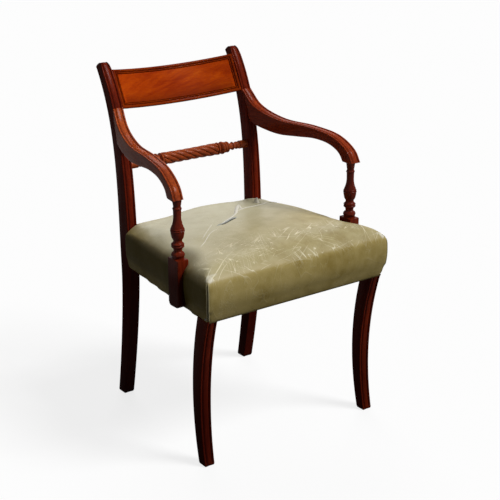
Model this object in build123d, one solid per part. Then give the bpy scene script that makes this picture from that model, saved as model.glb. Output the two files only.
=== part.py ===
from build123d import *
import os
from math import atan, cos, hypot, pi, sin, sqrt

# Regency elbow chair, in millimetres. +Z is up, the sitter looks along -Y, and X = 0 is the middle.
# Heights are from the floor. Depths are from the front feet's toes, until the last lines centre the chair.
# Pieces named left stand at -X, and pieces named right at +X.

# Uprights: each back stile and its sabre leg are one piece of mahogany
back_width = 352  # clear between the uprights
upright_width = 28
upright_front_at_seat = 391
upright_depth_at_foot = 29
upright_depth_at_seat = 40
upright_depth_at_top = 26
upright_level = 340  # where the leg's curve ends and the back's begins
knuckle_rise = 10  # from the crest's top to where the front edge turns into the scrolled top
knuckle_radius = 13
rear_leg_rake = 47
back_lean = 20
back_sweep = 83

# Front legs
leg_width = 27
leg_inner = 226.5
leg_shoulder = 365.7  # the cover's lower edge sits just above it
leg_front_at_top = -17
leg_back_at_top = 24
leg_front_at_middle = 16.5
leg_back_at_middle = 47
leg_back_at_foot = 25
leg_middle = 172
post_back = 27

# Reeded faces: a wide middle reed between two grooves, with a narrow bead at each edge
bead_width = 5
groove_width = 1.8
groove_depth = 1.6

# Seat frame of beech rails
rail_top = 432
rail_thickness = 25
frame_front = -14
rear_rail_set = 32  # its back face, behind the uprights' front edges
frame_inset = 0.5  # its front corners inside the legs' outer faces
rail_tenon = 8
rail_tenon_height = 40
side_tenon_length = 10

# Crest rail, bowed back from the sitter
crest_bottom = 746
crest_tall = 87  # between the levels of its edges
crest_bow = 26
crest_thickness = 15
border_width = 13
border_thickness = 3
panel_thickness = 1.8
border_groove_at = 8
crest_shoulder = 2
crest_tenon_thickness = 7
crest_tenon_inset = 20

# Rope-twist rail
twist_level = 609.5
twist_half = 82
rope_radius = 14.2
rope_swell = 1.2
rope_hollow = 2.6
rope_lead = 140
rope_strands = 6
rope_sections = 18
twist_tenon_radius = 6.5

# Arms
arm_level = 683
arm_thickness = 27
arm_width = 27
arm_root_top = 748
arm_root_bottom = 668
arm_end_level = 618
arm_end_front = 87
arm_end_depth = 31
arm_splay = 5  # of its end past the support's axis
arm_bow = 6.5
arm_tenon = 10
arm_tenon_height = 30

# Arm supports: a turned baluster over a square block
support_out = 11.4  # axis beyond the frame's side
support_y = 101
block_width = 28
block_depth = 40
block_lift = 1  # its lower end over the cover's edge
block_top = 480
block_end_radius = 9
support_tenon_radius = 6

# Seat
cover_thickness = 2
cover_turn = 16
seat_corner_radius = 8
seat_crown = 488
seat_tilt = 2.6  # degrees that the crown falls towards the back
front_fullness = 1.8  # outset of the front wall, as a multiple of the sides'
strap_width = 50
strap_thickness = 1.6
strap_turn = 20
strap_inset = 5
strap_gap = 100
hessian_thickness = 0.8

# Braces, screws and tacks
brace_reach = 78
brace_height = 30
screw_radius = 2.2
screw_head_radius = 4.5
screw_head_height = 2.6
screw_bite = 13
screw_bore_slack = 0.1
screw_cover = 14  # wood of a brace under a screw's head
screw_spacing = 32
screw_inset = 7  # its tip short of the support's outer face
head_sink = 1
pin_sides = 8
tack_radius = 1.1
tack_length = 9
tack_head_radius = 3.6
tack_head_height = 0.9
tack_pitch = 75

# Fits
glue_gap = 0.1  # round a glued joint
mortise_end = 1.5  # spare depth at the end of a mortise
bed_gap = 0.2  # under the crest's border and panel
soft_gap = 0.3  # between upholstery and wood
tenon_length = 15
tenon_root = 6  # how far a tenon is let into its own piece
beyond = 60  # how far a cutter reaches past the wood

half_back = back_width / 2
upright_outer = half_back + upright_width
upright_middle = half_back + upright_width / 2
leg_outer = leg_inner + leg_width
leg_centre = leg_inner + leg_width / 2
crest_top = crest_bottom + crest_tall
knuckle_level = crest_top + knuckle_rise
frame_front_half = leg_outer - frame_inset
cover_bottom = leg_shoulder + soft_gap
rail_bottom = cover_bottom + cover_thickness + soft_gap
rail_middle = (rail_bottom + rail_top) / 2
frame_rear = upright_front_at_seat + rear_rail_set
block_bottom = cover_bottom + block_lift


# Shared shapes

def bounds(x, y, z, grow=0):
    """Box between two values on each axis, grown on every side."""
    sizes = [abs(b - a) + 2 * grow for a, b in (x, y, z)]
    middles = [(a + b) / 2 for a, b in (x, y, z)]
    return Pos(*middles) * Box(*sizes)


def side_slab(edges, low_x, high_x):
    """Solid with the given outline seen from the side, between two X values."""
    return extrude(Plane.YZ.offset(low_x) * make_face(edges), high_x - low_x)


def plan_slab(points, low, high):
    """Solid with the given straight-sided outline seen from above, between two heights."""
    return extrude(Plane.XY.offset(low) * make_face(Polyline(*points, close=True)), high - low)


def turned(start_radius, steps):
    """Turning about Z from Z = 0 up. Each step is its height, its end radius and the bulge of its middle."""
    points = [(0, 0), (start_radius, 0)]
    for rise, end_radius, bulge in steps:
        radius, level = points[-1]
        if bulge:
            points.append(((radius + end_radius) / 2 + bulge, level + rise / 2))
        points.append((end_radius, level + rise))
    points.append((0, points[-1][1]))
    return revolve(Plane.XZ * make_face(Polyline(*points, close=True)), Axis.Z)


def both_sides(name, right):
    """The right-hand piece and its mirror image."""
    return {name + "_right": right, name + "_left": mirror(right, about=Plane.YZ)}


def pair(solid):
    return [solid, mirror(solid, about=Plane.YZ)]


def spread(low, high, count):
    """Evenly spaced values from low to high."""
    return [low + (high - low) * i / (count - 1) for i in range(count)]


def cut(solid, cutters):
    for cutter in cutters:
        solid = solid - cutter
    return solid


def prism(radius, length):
    """Straight-sided pin or bore, from the origin along Z."""
    return extrude(RegularPolygon(radius, pin_sides), length)


def fastener(at, toward, radius, length, head_radius, head_height, slack=0):
    """Pin with a round head. The head's underside is at the point, and the pin runs in the direction."""
    head = prism(head_radius + slack, -head_height)
    return Plane(origin=at, z_dir=toward).location * (prism(radius + slack, length) + head)


# Plan of the seat frame

def frame_half(y):
    """Half width of the frame at a depth. Its sides run straight from the front corners to the stiles."""
    taper = (frame_front_half - upright_outer) / (upright_front_at_seat - frame_front)
    return frame_front_half - taper * (y - frame_front)


def rail_inner(y):
    return frame_half(y) - rail_thickness


post_outer = frame_half(post_back)
support_x = frame_half(support_y) + support_out
arm_end_x = support_x + arm_splay


# Uprights

def upright_front(z):
    """Y of an upright's front edge."""
    leg = max(0, 1 - z / upright_level)
    back = max(0, (z - upright_level) / (knuckle_level - upright_level))
    return upright_front_at_seat + rear_leg_rake * leg**1.5 + back_lean * back + back_sweep * back**4


def upright_depth(z):
    """Front to back, measured level."""
    if z < upright_level:
        return upright_depth_at_foot + (upright_depth_at_seat - upright_depth_at_foot) * z / upright_level
    back = (z - upright_level) / (knuckle_level - upright_level)
    return upright_depth_at_seat - (upright_depth_at_seat - upright_depth_at_top) * back**1.6


def front_edge(low, high, shift=0, count=9):
    return Spline(*[(upright_front(z) + shift, z) for z in spread(low, high, count)])


def upright_band(low, high, near, far, low_x, high_x):
    """Solid that follows the front edge, from near to far behind it."""
    front, rear = front_edge(low, high, near), front_edge(low, high, far)
    return side_slab([front, rear, Line(front @ 0, rear @ 0), Line(front @ 1, rear @ 1)], low_x, high_x)


def upright_blank():
    """Sabre leg and swept stile with a scrolled top, between parallel faces."""
    slope = atan((back_lean + 4 * back_sweep) / (knuckle_level - upright_level))
    knuckle_y = upright_front(knuckle_level) + knuckle_radius * cos(slope)
    knuckle_z = knuckle_level - knuckle_radius * sin(slope)
    front = front_edge(0, knuckle_level, count=12)
    rear = Spline(*[(upright_front(z) + upright_depth(z), z) for z in spread(0, knuckle_z, 12)])
    outline = [front, Line(front @ 1, (knuckle_y, knuckle_z)), Line((knuckle_y, knuckle_z), rear @ 1), rear,
               Line(rear @ 0, front @ 0)]
    knuckle = Pos(0, knuckle_y, knuckle_z) * Rot(0, 90, 0) * Cylinder(knuckle_radius, upright_width)
    return side_slab(outline, half_back, upright_outer) + Pos(upright_middle, 0, 0) * knuckle


def groove_places(middle, width):
    """X limits of the two grooves of a reeded face."""
    reach = width / 2 - bead_width
    return [(middle - reach, middle - reach + groove_width), (middle + reach - groove_width, middle + reach)]


# Crest rail, drawn on a plane that leans with the stiles

crest_rise = (upright_front(crest_top) - upright_front(crest_bottom), crest_top - crest_bottom)
crest_height = hypot(*crest_rise)
crest_plane = Plane(origin=(0, upright_front(crest_bottom), crest_bottom), x_dir=(1, 0, 0),
                    z_dir=(0, crest_rise[0], crest_rise[1]))
bow_radius = (half_back**2 + crest_bow**2) / (2 * crest_bow)


def bowed_slab(near, far, low, high, half_length):
    """Curved board between two depths behind the crest's face and two heights up its slope."""
    def arc(depth):
        end = sqrt((bow_radius + depth)**2 - half_length**2) - bow_radius + crest_bow
        return ThreePointArc((-half_length, end), (0, crest_bow + depth), (half_length, end))
    front, back = arc(near), arc(far)
    outline = [front, back, Line(front @ 0, back @ 0), Line(front @ 1, back @ 1)]
    return extrude(crest_plane.offset(low) * make_face(outline), high - low)


def crest_tenon(grow=0):
    """Tenon at the right-hand end, square to the stile."""
    end = half_back + tenon_length + (mortise_end if grow else 0)
    depths = (border_thickness + crest_shoulder, border_thickness + crest_shoulder + crest_tenon_thickness)
    heights = (crest_tenon_inset, crest_height - crest_tenon_inset)
    return crest_plane.location * bounds((half_back - tenon_root, end), depths, heights, grow)


def crest_window(inset, depth=beyond):
    """Everything inside a line round the crest's face, from before the face to a depth behind it."""
    return bowed_slab(-1, depth, inset, crest_height - inset, half_back - inset)


def mitre_wedge(corners):
    """Prism through the crest's face, from corners given along it and up its slope."""
    face = Plane(origin=crest_plane.origin, x_dir=(1, 0, 0), z_dir=-crest_plane.y_dir)
    return extrude(face * make_face(Polyline(*corners, close=True)), beyond * 2, both=True)


def crest_pieces():
    pieces = {}
    core = bowed_slab(border_thickness, crest_thickness, 0, crest_height, half_back)
    pieces["crest_rail"] = core + pair(crest_tenon())
    reach = half_back - border_width
    bed = border_thickness - bed_gap
    low, high = border_width, crest_height - border_width
    pieces["crest_panel"] = bowed_slab(bed - panel_thickness, bed, low, high, reach)
    ring = bowed_slab(0, bed, 0, crest_height, half_back) - crest_window(border_width)
    groove_end = border_groove_at + groove_width
    ring = ring - (crest_window(border_groove_at, groove_depth) - crest_window(groove_end))
    top_wedge = [(-half_back, crest_height), (half_back, crest_height), (reach, high), (-reach, high)]
    bottom_wedge = [(-half_back, 0), (half_back, 0), (reach, low), (-reach, low)]
    end_wedge = [(half_back, 0), (half_back, crest_height), (reach, high), (reach, low)]
    pieces["crest_bead_top"] = ring & mitre_wedge(top_wedge)
    pieces["crest_bead_bottom"] = ring & mitre_wedge(bottom_wedge)
    pieces |= both_sides("crest_bead", ring & mitre_wedge(end_wedge))
    return pieces


# Rope-twist rail

twist_y = upright_front(twist_level) + upright_depth(twist_level) / 2
rope_end_radius = 13
# Each end's turning, from the rope to the stile: length, end radius and bulge of each step
twist_rings = [(1, 14, 0), (4, 14, 1), (1, 9, 0), (4, 9.5, -1), (2, 12, 0), (9, 12, 3), (1, 11.5, 0),
               (6, 11.5, 1.6), (1, 11.5, 0), (7, 11, 2.2), (8, 7.5, -2), (3, 7.5, 0), (5, 7.5, 2.4),
               (5, 7, -0.6), (9, 8, 1.4), (4, 7.5, -1), (1, 10, 0)]
twist_collar_radius = 10


def rope_outline(x):
    """Cross-section of the carved rope at a place along the rail, turned by its lead."""
    radius = rope_radius + rope_swell * (x / twist_half)**2
    step = 2 * pi / rope_strands
    points = []
    for i in range(rope_strands):
        turn = 2 * pi * x / rope_lead + i * step
        strand = [(rope_hollow, 0), (rope_hollow / 4, 0.25), (0, 0.5), (rope_hollow / 4, 0.75)]
        rays = [(radius - hollow, turn + share * step) for hollow, share in strand]
        points += [(r * cos(a), r * sin(a)) for r, a in rays]
    across = Plane(origin=(x, 0, 0), x_dir=(0, 1, 0), z_dir=(1, 0, 0))
    return across * make_face(Polyline(*points, close=True))


def twist_rail():
    rope = loft([rope_outline(x) for x in spread(-twist_half, twist_half, rope_sections + 1)], ruled=True)
    collar = half_back - twist_half - sum(step[0] for step in twist_rings)
    tenon = [(0, twist_tenon_radius, 0), (tenon_length, twist_tenon_radius, 0)]
    last = [(collar, twist_collar_radius, 0)] + tenon
    end = Pos(twist_half, 0, 0) * Rot(0, 90, 0) * turned(rope_end_radius, twist_rings + last)
    return Pos(0, twist_y, twist_level) * (rope + pair(end))


# Arms: sawn to a side outline and to a plan, then reeded along the top

def arm_top():
    """Upper edge seen from the side, from the stile forward and down to the scrolled end."""
    root = upright_front(arm_root_top)
    length = root - arm_end_front
    shape = [(0.1, 26), (0.31, 2), (0.6, -1), (0.82, -12), (0.955, -40)]
    between = [(root - share * length, arm_level + rise) for share, rise in shape]
    return Spline((root, arm_root_top), *between, (arm_end_front, arm_end_level))


def arm_under():
    """Lower edge seen from the side, from the scrolled end back to the stile."""
    foot = upright_front(arm_root_bottom)
    back = arm_end_front + arm_end_depth
    under = arm_level - arm_thickness
    shape = [(0.04, -20), (0.14, -4), (0.3, 2), (0.5, -3), (0.7, -7), (0.9, 2)]
    between = [(back + share * (foot - back), under + rise) for share, rise in shape]
    return Spline((back, arm_end_level), *between, (foot, arm_root_bottom))


def arm_wall(offset):
    """Plan curve of an arm's side, shifted out from its middle line and run on straight past both ends."""
    root = (upright_middle + offset, upright_front(arm_root_top))
    end = (arm_end_x + offset, arm_end_front)
    middle = ((root[0] + end[0]) / 2 + arm_bow, (root[1] + end[1]) / 2)
    curve = ThreePointArc(root, middle, end)
    before, after = curve @ 0 - (curve % 0) * beyond, curve @ 1 + (curve % 1) * beyond
    return [Line(before, curve @ 0), curve, Line(curve @ 1, after)]


def arm_strip(inner, outer):
    """Everything between two plan curves, over the arm's height."""
    a, b = arm_wall(inner), arm_wall(outer)
    face = make_face(a + b + [Line(a[0] @ 0, b[0] @ 0), Line(a[-1] @ 1, b[-1] @ 1)])
    return extrude(Plane.XY.offset(arm_end_level - beyond) * face, arm_root_top - arm_end_level + 2 * beyond)


def behind_upright(low, high, gap, low_x, high_x):
    """Everything behind an upright's front edge, less a gap, for trimming what meets it."""
    return upright_band(low, high, -gap, 2 * beyond, low_x, high_x)


def arm_tenon_box(grow=0):
    middle = (arm_root_top + arm_root_bottom) / 2
    face = upright_front(middle)
    end = face + tenon_length + (mortise_end if grow else 0)
    return bounds((upright_middle - arm_tenon / 2, upright_middle + arm_tenon / 2), (face - beyond / 4, end),
                  (middle - arm_tenon_height / 2, middle + arm_tenon_height / 2), grow)


def arm():
    top, under = arm_top(), arm_under()
    outline = [top, Line(top @ 1, under @ 0), under, Line(under @ 1, top @ 0)]
    sides = (half_back - beyond, arm_end_x + beyond)
    blank = side_slab(outline, *sides) & arm_strip(-arm_width / 2, arm_width / 2)
    inside = Pos(groove_depth, -groove_depth, 0) * top
    below = [top, inside, Line(top @ 0, inside @ 0), Line(top @ 1, inside @ 1)]
    for low, high in groove_places(0, arm_width):
        blank = blank - (side_slab(below, *sides) & arm_strip(low, high))
    blank = blank - behind_upright(arm_root_bottom - beyond, knuckle_level, glue_gap, *sides)
    return blank + arm_tenon_box() - support_tenon(glue_gap)


# Arm supports

# The baluster's turning, from the block up: height, end radius and bulge of each step
baluster = [(3, 14, 0), (0, 11, 0), (12, 11, 4.4), (5, 9.5, -1.2), (6, 12, -1), (5, 12.4, 2.6), (5, 12, 2.6),
            (8, 9.8, -1.4), (19, 15.6, 1.6), (4, 15, 1.2), (4, 14.4, 1.2), (18, 9, -0.8), (14, 8.5, -0.3),
            (10, 8.7, 0), (5, 8.7, 1.2), (6, 8.7, -0.6)]
support_collar_radius = 10.4


def support_tenon(grow=0):
    height = tenon_length + (mortise_end if grow else 0)
    tenon = Cylinder(support_tenon_radius + grow, height)
    return Pos(support_x, support_y, arm_end_level + height / 2) * tenon


def arm_support():
    used = sum(step[0] for step in baluster)
    collar = [(arm_end_level - block_top - used, support_collar_radius, 0)]
    turning = Pos(support_x, support_y, block_top) * turned(block_width / 2, baluster + collar)
    block = bounds((support_x - block_width / 2, support_x + block_width / 2),
                   (support_y - block_depth / 2, support_y + block_depth / 2), (block_bottom, block_top))
    low_edges = block.edges().filter_by(Axis.X).group_by(Axis.Z)[0]
    block = fillet(low_edges, block_end_radius) - seat_form(soft_gap)
    return cut(turning + block + support_tenon(), support_bores)


# Seat frame

def front_leg():
    """Sabre leg, reeded in front, with a square post for the seat rails on top."""
    def edge(foot, middle, top):
        return ThreePointArc((foot, 0), (middle, leg_middle), (top, leg_shoulder))
    front = edge(0, leg_front_at_middle, leg_front_at_top)
    back = edge(leg_back_at_foot, leg_back_at_middle, leg_back_at_top)
    leg = side_slab([front, back, Line(front @ 0, back @ 0), Line(front @ 1, back @ 1)], leg_inner, leg_outer)
    inside = Pos(groove_depth, 0, 0) * front
    band = [front, inside, Line(front @ 0, inside @ 0), Line(front @ 1, inside @ 1)]
    leg = cut(leg, [side_slab(band, low, high) for low, high in groove_places(leg_centre, leg_width)])
    post = bounds((leg_inner, post_outer), (frame_front, post_back), (leg_shoulder, rail_top))
    corner = post.edges().filter_by(Axis.Z).sort_by(Axis.X)[-2:].sort_by(Axis.Y)[0]
    post = fillet(corner, seat_corner_radius)
    return cut(leg + post, [front_rail_tenon(glue_gap), side_rail_tenons(glue_gap)[0]])


def tenon_heights():
    return (rail_middle - rail_tenon_height / 2, rail_middle + rail_tenon_height / 2)


def front_rail_tenon(grow=0):
    middle = frame_front + rail_thickness / 2
    end = leg_inner + tenon_length - rail_tenon / 2 + (mortise_end if grow else 0)
    return bounds((leg_inner - tenon_root, end), (middle - rail_tenon / 2, middle + rail_tenon / 2),
                  tenon_heights(), grow)


def side_rail_tenons(grow=0):
    """Front and rear tenons of the right-hand side rail."""
    spare = mortise_end if grow else 0
    seat_face = upright_front(rail_middle)
    tenons = []
    for face, inside in ((post_back, -1), (seat_face, 1)):
        middle = frame_half(face) - rail_thickness / 2
        ends = (face - inside * tenon_root, face + inside * (side_tenon_length + spare))
        tenons.append(bounds((middle - rail_tenon / 2, middle + rail_tenon / 2), ends, tenon_heights(), grow))
    return tenons


side_tenon_length = 10


def rear_rail_tenon(grow=0):
    middle = frame_rear - rail_thickness / 2
    end = half_back + tenon_length + (mortise_end if grow else 0)
    return bounds((half_back - tenon_root, end), (middle - rail_tenon / 2, middle + rail_tenon / 2),
                  tenon_heights(), grow)


def cross_rail(half_length, low_y, high_y, tenon):
    rail = bounds((-half_length, half_length), (low_y, high_y), (rail_bottom, rail_top))
    return rail + pair(tenon)


def side_rail():
    """Right-hand rail, from the front post to the stile, splayed with the frame."""
    end = upright_front_at_seat + beyond / 3
    outline = [(frame_half(post_back), post_back), (frame_half(end), end), (rail_inner(end), end),
               (rail_inner(post_back), post_back)]
    rail = plan_slab(outline, rail_bottom, rail_top)
    rail = rail - behind_upright(rail_bottom - beyond, rail_top + beyond, glue_gap, half_back - beyond,
                                 upright_outer + beyond)
    return rail + side_rail_tenons()


# Corner braces, glued and screwed into the corners of the frame

brace_low = rail_middle - brace_height / 2
brace_high = rail_middle + brace_height / 2


def front_brace():
    face = frame_front + rail_thickness
    far = face + brace_reach
    corner = leg_inner - soft_gap
    return plan_slab([(corner - brace_reach, face), (corner, face), (corner, post_back),
                      (rail_inner(post_back), post_back), (rail_inner(far), far)], brace_low, brace_high)


def rear_brace():
    face = frame_rear - rail_thickness
    stile = upright_front(brace_low) - soft_gap
    far = stile - brace_reach
    corner = half_back - soft_gap
    return plan_slab([(corner - brace_reach, face), (corner, face), (corner, stile),
                      (rail_inner(stile), stile), (rail_inner(far), far)], brace_low, brace_high)


def brace_screw_places():
    """Head points and directions of the right-hand braces' screws: one into each rail that a brace joins."""
    front_face = frame_front + rail_thickness
    rear_face = frame_rear - rail_thickness
    along = brace_reach * 2 / 3
    front_side = front_face + along
    rear_side = upright_front(brace_low) - soft_gap - along
    return [((leg_inner - along, front_face + screw_cover, rail_middle), (0, -1, 0)),
            ((rail_inner(front_side) - screw_cover, front_side, rail_middle), (1, 0, 0)),
            ((half_back - along, rear_face - screw_cover, rail_middle), (0, 1, 0)),
            ((rail_inner(rear_side) - screw_cover, rear_side, rail_middle), (1, 0, 0))]


def brace_screw(place, slack=0):
    at, toward = place
    return fastener(at, toward, screw_radius, screw_cover + screw_bite + slack, screw_head_radius,
                    screw_head_height, slack)


def brace_bore(place):
    """Hole for a screw and the counterbore over its head."""
    at, toward = place
    mouth = Plane(origin=at, z_dir=toward).location * prism(screw_head_radius + screw_bore_slack, -beyond)
    return brace_screw(place, screw_bore_slack) + mouth


# Screws that hold each arm support to its side rail, driven from inside the frame

support_screw_levels = (rail_middle - screw_spacing / 2, rail_middle + screw_spacing / 2)
support_head = rail_inner(support_y) + screw_head_height + head_sink


def support_screw(level, slack=0):
    tip = support_x + block_width / 2 - screw_inset
    return fastener((support_head, support_y, level), (1, 0, 0), screw_radius, tip - support_head + slack,
                    screw_head_radius, screw_head_height, slack)


def support_bore(level):
    place = Plane(origin=(support_head, support_y, level), z_dir=(1, 0, 0))
    mouth = place.location * prism(screw_head_radius + screw_bore_slack, -beyond)
    return support_screw(level, screw_bore_slack) + mouth


support_bores = [support_bore(level) for level in support_screw_levels]


# Upholstery: one crowned form, from the outside of the cover inwards

# Wall and crown of the seat, from its lower edge in to its middle: level and outset from the frame
wall_profile = [(0, 2.5), (18, 6), (42, 9.5), (70, 10)]
crown_profile = [(33, 7), (21, -4), (13, -20), (7, -46), (2.5, -86), (0, -128)]
seat_profile = [(cover_bottom + rise, outset) for rise, outset in wall_profile]
seat_profile += [(seat_crown - drop, outset) for drop, outset in crown_profile]
wall_top = cover_bottom + wall_profile[-1][0]


def seat_outline(outset, level, tilt=0):
    """Plan of the seat, outset from the frame, with rounded corners, tipped back about its middle."""
    front = frame_front - outset * (front_fullness if outset > 0 else 1)
    rear = frame_rear + outset
    corners = [(frame_half(front) + outset, front), (frame_half(rear) + outset, rear)]
    corners = corners + [(-x, y) for x, y in reversed(corners)]
    radius = seat_corner_radius + abs(outset) / 3
    face = make_face(Polyline(*corners, close=True))
    middle = (frame_front + frame_rear) / 2
    tipped = Rot(-tilt, 0, 0) * Pos(0, -middle, 0) * fillet(face.vertices(), radius)
    return Pos(0, middle, level) * tipped


def seat_form(grow, open_below=0):
    """The whole stuffed seat, grown or shrunk by a skin: sideways at its walls, downwards at its crown."""
    sections = []
    for level, outset in seat_profile:
        share = max(0, (level - wall_top) / (seat_crown - wall_top))
        tilt = seat_tilt * share
        sections.append(seat_outline(outset + grow * (1 - share), level + grow * share, tilt))
    form = loft(sections, ruled=True)
    if open_below:
        form = form + extrude(sections[0], -open_below)
    return form


def stile_notches(gap):
    """Room for both stiles and everything beside them, cut out of the upholstery."""
    sides = (half_back - gap, frame_front_half + beyond)
    return pair(behind_upright(cover_bottom - beyond, seat_crown + beyond, gap, *sides))


def leather_cover():
    """Hide pulled over the stuffing, down the rails and turned under them."""
    shell = seat_form(0) - seat_form(-cover_thickness, open_below=beyond)
    skirt = seat_profile[0][1] - cover_thickness / 2
    hem = seat_outline(skirt, cover_bottom) - seat_outline(-cover_turn, cover_bottom)
    post = bounds((leg_inner, post_outer), (frame_front, post_back), (cover_bottom, rail_bottom), soft_gap)
    hem = cut(extrude(hem, cover_thickness), pair(post))
    tack_holes = [tack_hole(place) for place in cover_tack_places()]
    return cut(shell + hem, stile_notches(soft_gap) + support_holes() + tack_holes)


def support_holes():
    return [side for level in support_screw_levels for side in pair(support_screw(level, soft_gap))]


def seat_stuffing():
    """Horsehair under the cover, domed over the frame and padding its outside faces."""
    inside = seat_form(-cover_thickness - soft_gap)
    frame = extrude(seat_outline(soft_gap, cover_bottom), hessian_top + soft_gap - cover_bottom)
    below = extrude(seat_outline(beyond, cover_bottom), rail_bottom + soft_gap - cover_bottom)
    return cut(inside, [frame, below] + stile_notches(2 * soft_gap) + support_holes())


# Webbing, with its turned ends tacked to the rails, and the hessian over it

strap_low = rail_top + strap_thickness
strap_high = strap_low + strap_thickness
hessian_bottom = strap_high + tack_head_height + soft_gap
hessian_top = hessian_bottom + hessian_thickness
strap_shifts = (-strap_gap, 0, strap_gap)
webbing_middle = (frame_front + frame_rear) / 2


def cross_strap_half(y):
    return frame_half(y + strap_width / 2) - strap_inset


def webbing_across():
    straps = []
    for y in [webbing_middle + shift for shift in strap_shifts]:
        half = cross_strap_half(y)
        strap = bounds((-half, half), (y - strap_width / 2, y + strap_width / 2), (rail_top, strap_low))
        straps.append(cut(strap, [tack_hole(t) for t in webbing_tack_places()]))
    return straps


def webbing_along():
    straps = []
    front, rear = frame_front + strap_inset, frame_rear - strap_inset
    for x in strap_shifts:
        sides = (x - strap_width / 2, x + strap_width / 2)
        strap = bounds(sides, (front, rear), (strap_low, strap_high))
        for ends in ((front, front + strap_turn), (rear - strap_turn, rear)):
            strap = strap + bounds(sides, ends, (rail_top, strap_low))
        straps.append(cut(strap, [tack_hole(t) for t in webbing_tack_places()]))
    return straps


def hessian():
    sheet = extrude(seat_outline(-strap_inset, hessian_bottom), hessian_thickness)
    return cut(sheet, stile_notches(2 * soft_gap))


# Tacks

def webbing_tack_places():
    """Head points of the tacks at the straps' ends, all driven down."""
    inset = strap_turn / 2
    spots = (-strap_width / 4, strap_width / 4)
    places = []
    for shift in strap_shifts:
        for spot in spots:
            for y in (frame_front + strap_inset + inset, frame_rear - strap_inset - inset):
                places.append(((shift + spot, y, strap_high), (0, 0, -1)))
            y = webbing_middle + shift
            for side in (-1, 1):
                places.append(((side * (cross_strap_half(y) - inset), y + spot, strap_low), (0, 0, -1)))
    return places


def cover_tack_places():
    """Head points of the tacks through the turned-under edge of the cover, all driven up."""
    inset = cover_turn / 2
    front_row = [(x, frame_front + inset) for x in spread(-2.5 * tack_pitch, 2.5 * tack_pitch, 6)]
    rear_row = [(x, frame_rear - inset) for x in spread(-tack_pitch * 1.5, tack_pitch * 1.5, 4)]
    side_row = spread(post_back + tack_pitch / 2, upright_front_at_seat - tack_pitch / 2, 5)
    spots = front_row + rear_row + [(side * (frame_half(y) - inset), y) for y in side_row for side in (-1, 1)]
    return [((x, y, cover_bottom), (0, 0, 1)) for x, y in spots]


def tack(place):
    at, toward = place
    return fastener(at, toward, tack_radius, tack_length, tack_head_radius, tack_head_height)


def tack_hole(place):
    """Hole that a tack's pin fills, with no room for its head."""
    at, toward = place
    return Plane(origin=at, z_dir=toward).location * prism(tack_radius + glue_gap / 2, tack_length + glue_gap)


# The chair's pieces

def uprights():
    reeded = upright_level + (rail_top - upright_level) / 2
    blank = upright_blank()
    grooves = [upright_band(reeded, knuckle_level, -beyond / 10, groove_depth, low, high)
               for low, high in groove_places(upright_middle, upright_width)]
    twist_depth = tenon_length + mortise_end
    twist_bore = Rot(0, 90, 0) * Cylinder(twist_tenon_radius + glue_gap, twist_depth)
    sockets = [crest_tenon(glue_gap), arm_tenon_box(glue_gap), rear_rail_tenon(glue_gap),
               side_rail_tenons(glue_gap)[1],
               Pos(half_back + twist_depth / 2, twist_y, twist_level) * twist_bore]
    return cut(blank, grooves + sockets)


def rails():
    """The four seat rails, bored for every screw and tack that goes into them."""
    screws = [brace_bore(place) for place in brace_screw_places()]
    tacks = [tack_hole(place) for place in webbing_tack_places() + cover_tack_places()]
    right_side = [bore for bore in tacks if bore.center().X > 0] + screws + support_bores
    both_ends = [end for screw in screws for end in pair(screw)]
    front = cross_rail(leg_inner, frame_front, frame_front + rail_thickness, front_rail_tenon())
    rear = cross_rail(half_back, frame_rear - rail_thickness, frame_rear, rear_rail_tenon())
    pieces = {"front_seat_rail": cut(front, both_ends + tacks),
              "rear_seat_rail": cut(rear, both_ends + tacks)}
    pieces |= both_sides("side_seat_rail", cut(side_rail(), right_side))
    return pieces


def braces():
    bores = [brace_bore(place) for place in brace_screw_places()]
    pieces = both_sides("front_corner_brace", cut(front_brace(), bores[:2]))
    pieces |= both_sides("rear_corner_brace", cut(rear_brace(), bores[2:]))
    return pieces


def chair():
    pieces = both_sides("rear_upright", uprights())
    pieces |= both_sides("front_leg", front_leg())
    pieces |= crest_pieces()
    pieces["twist_rail"] = twist_rail()
    pieces |= both_sides("arm", arm())
    pieces |= both_sides("arm_support", arm_support())
    pieces |= rails()
    pieces |= braces()
    pieces["brace_screws"] = [side for place in brace_screw_places() for side in pair(brace_screw(place))]
    pieces["support_screws"] = [side for level in support_screw_levels for side in pair(support_screw(level))]
    pieces["webbing_across"] = webbing_across()
    pieces["webbing_along"] = webbing_along()
    pieces["webbing_tacks"] = [tack(place) for place in webbing_tack_places()]
    pieces["hessian"] = hessian()
    pieces["seat_stuffing"] = seat_stuffing()
    pieces["leather_cover"] = leather_cover()
    pieces["cover_tacks"] = [tack(place) for place in cover_tack_places()]
    return pieces


def as_solids(piece):
    solids = piece if isinstance(piece, list) else [piece]
    return [s for shape in solids for s in shape.solids()]


built = {name: as_solids(piece) for name, piece in chair().items()}
whole = Compound([solid for solids in built.values() for solid in solids]).bounding_box()
to_middle = Pos(-(whole.min.X + whole.max.X) / 2, -(whole.min.Y + whole.max.Y) / 2, -whole.min.Z)
os.makedirs("parts", exist_ok=True)
for name, solids in built.items():
    placed = [to_middle * solid for solid in solids]
    export_step(placed[0] if len(placed) == 1 else Compound(placed), f"parts/{name}.step")
print("depth of the middle behind the toes", round((whole.min.Y + whole.max.Y) / 2, 2))
print("size", [round(v, 1) for v in whole.size])
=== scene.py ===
import math
import bmesh
import bpy
from mathutils import Euler, Matrix, Vector, noise
from mathutils.bvhtree import BVHTree


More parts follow.
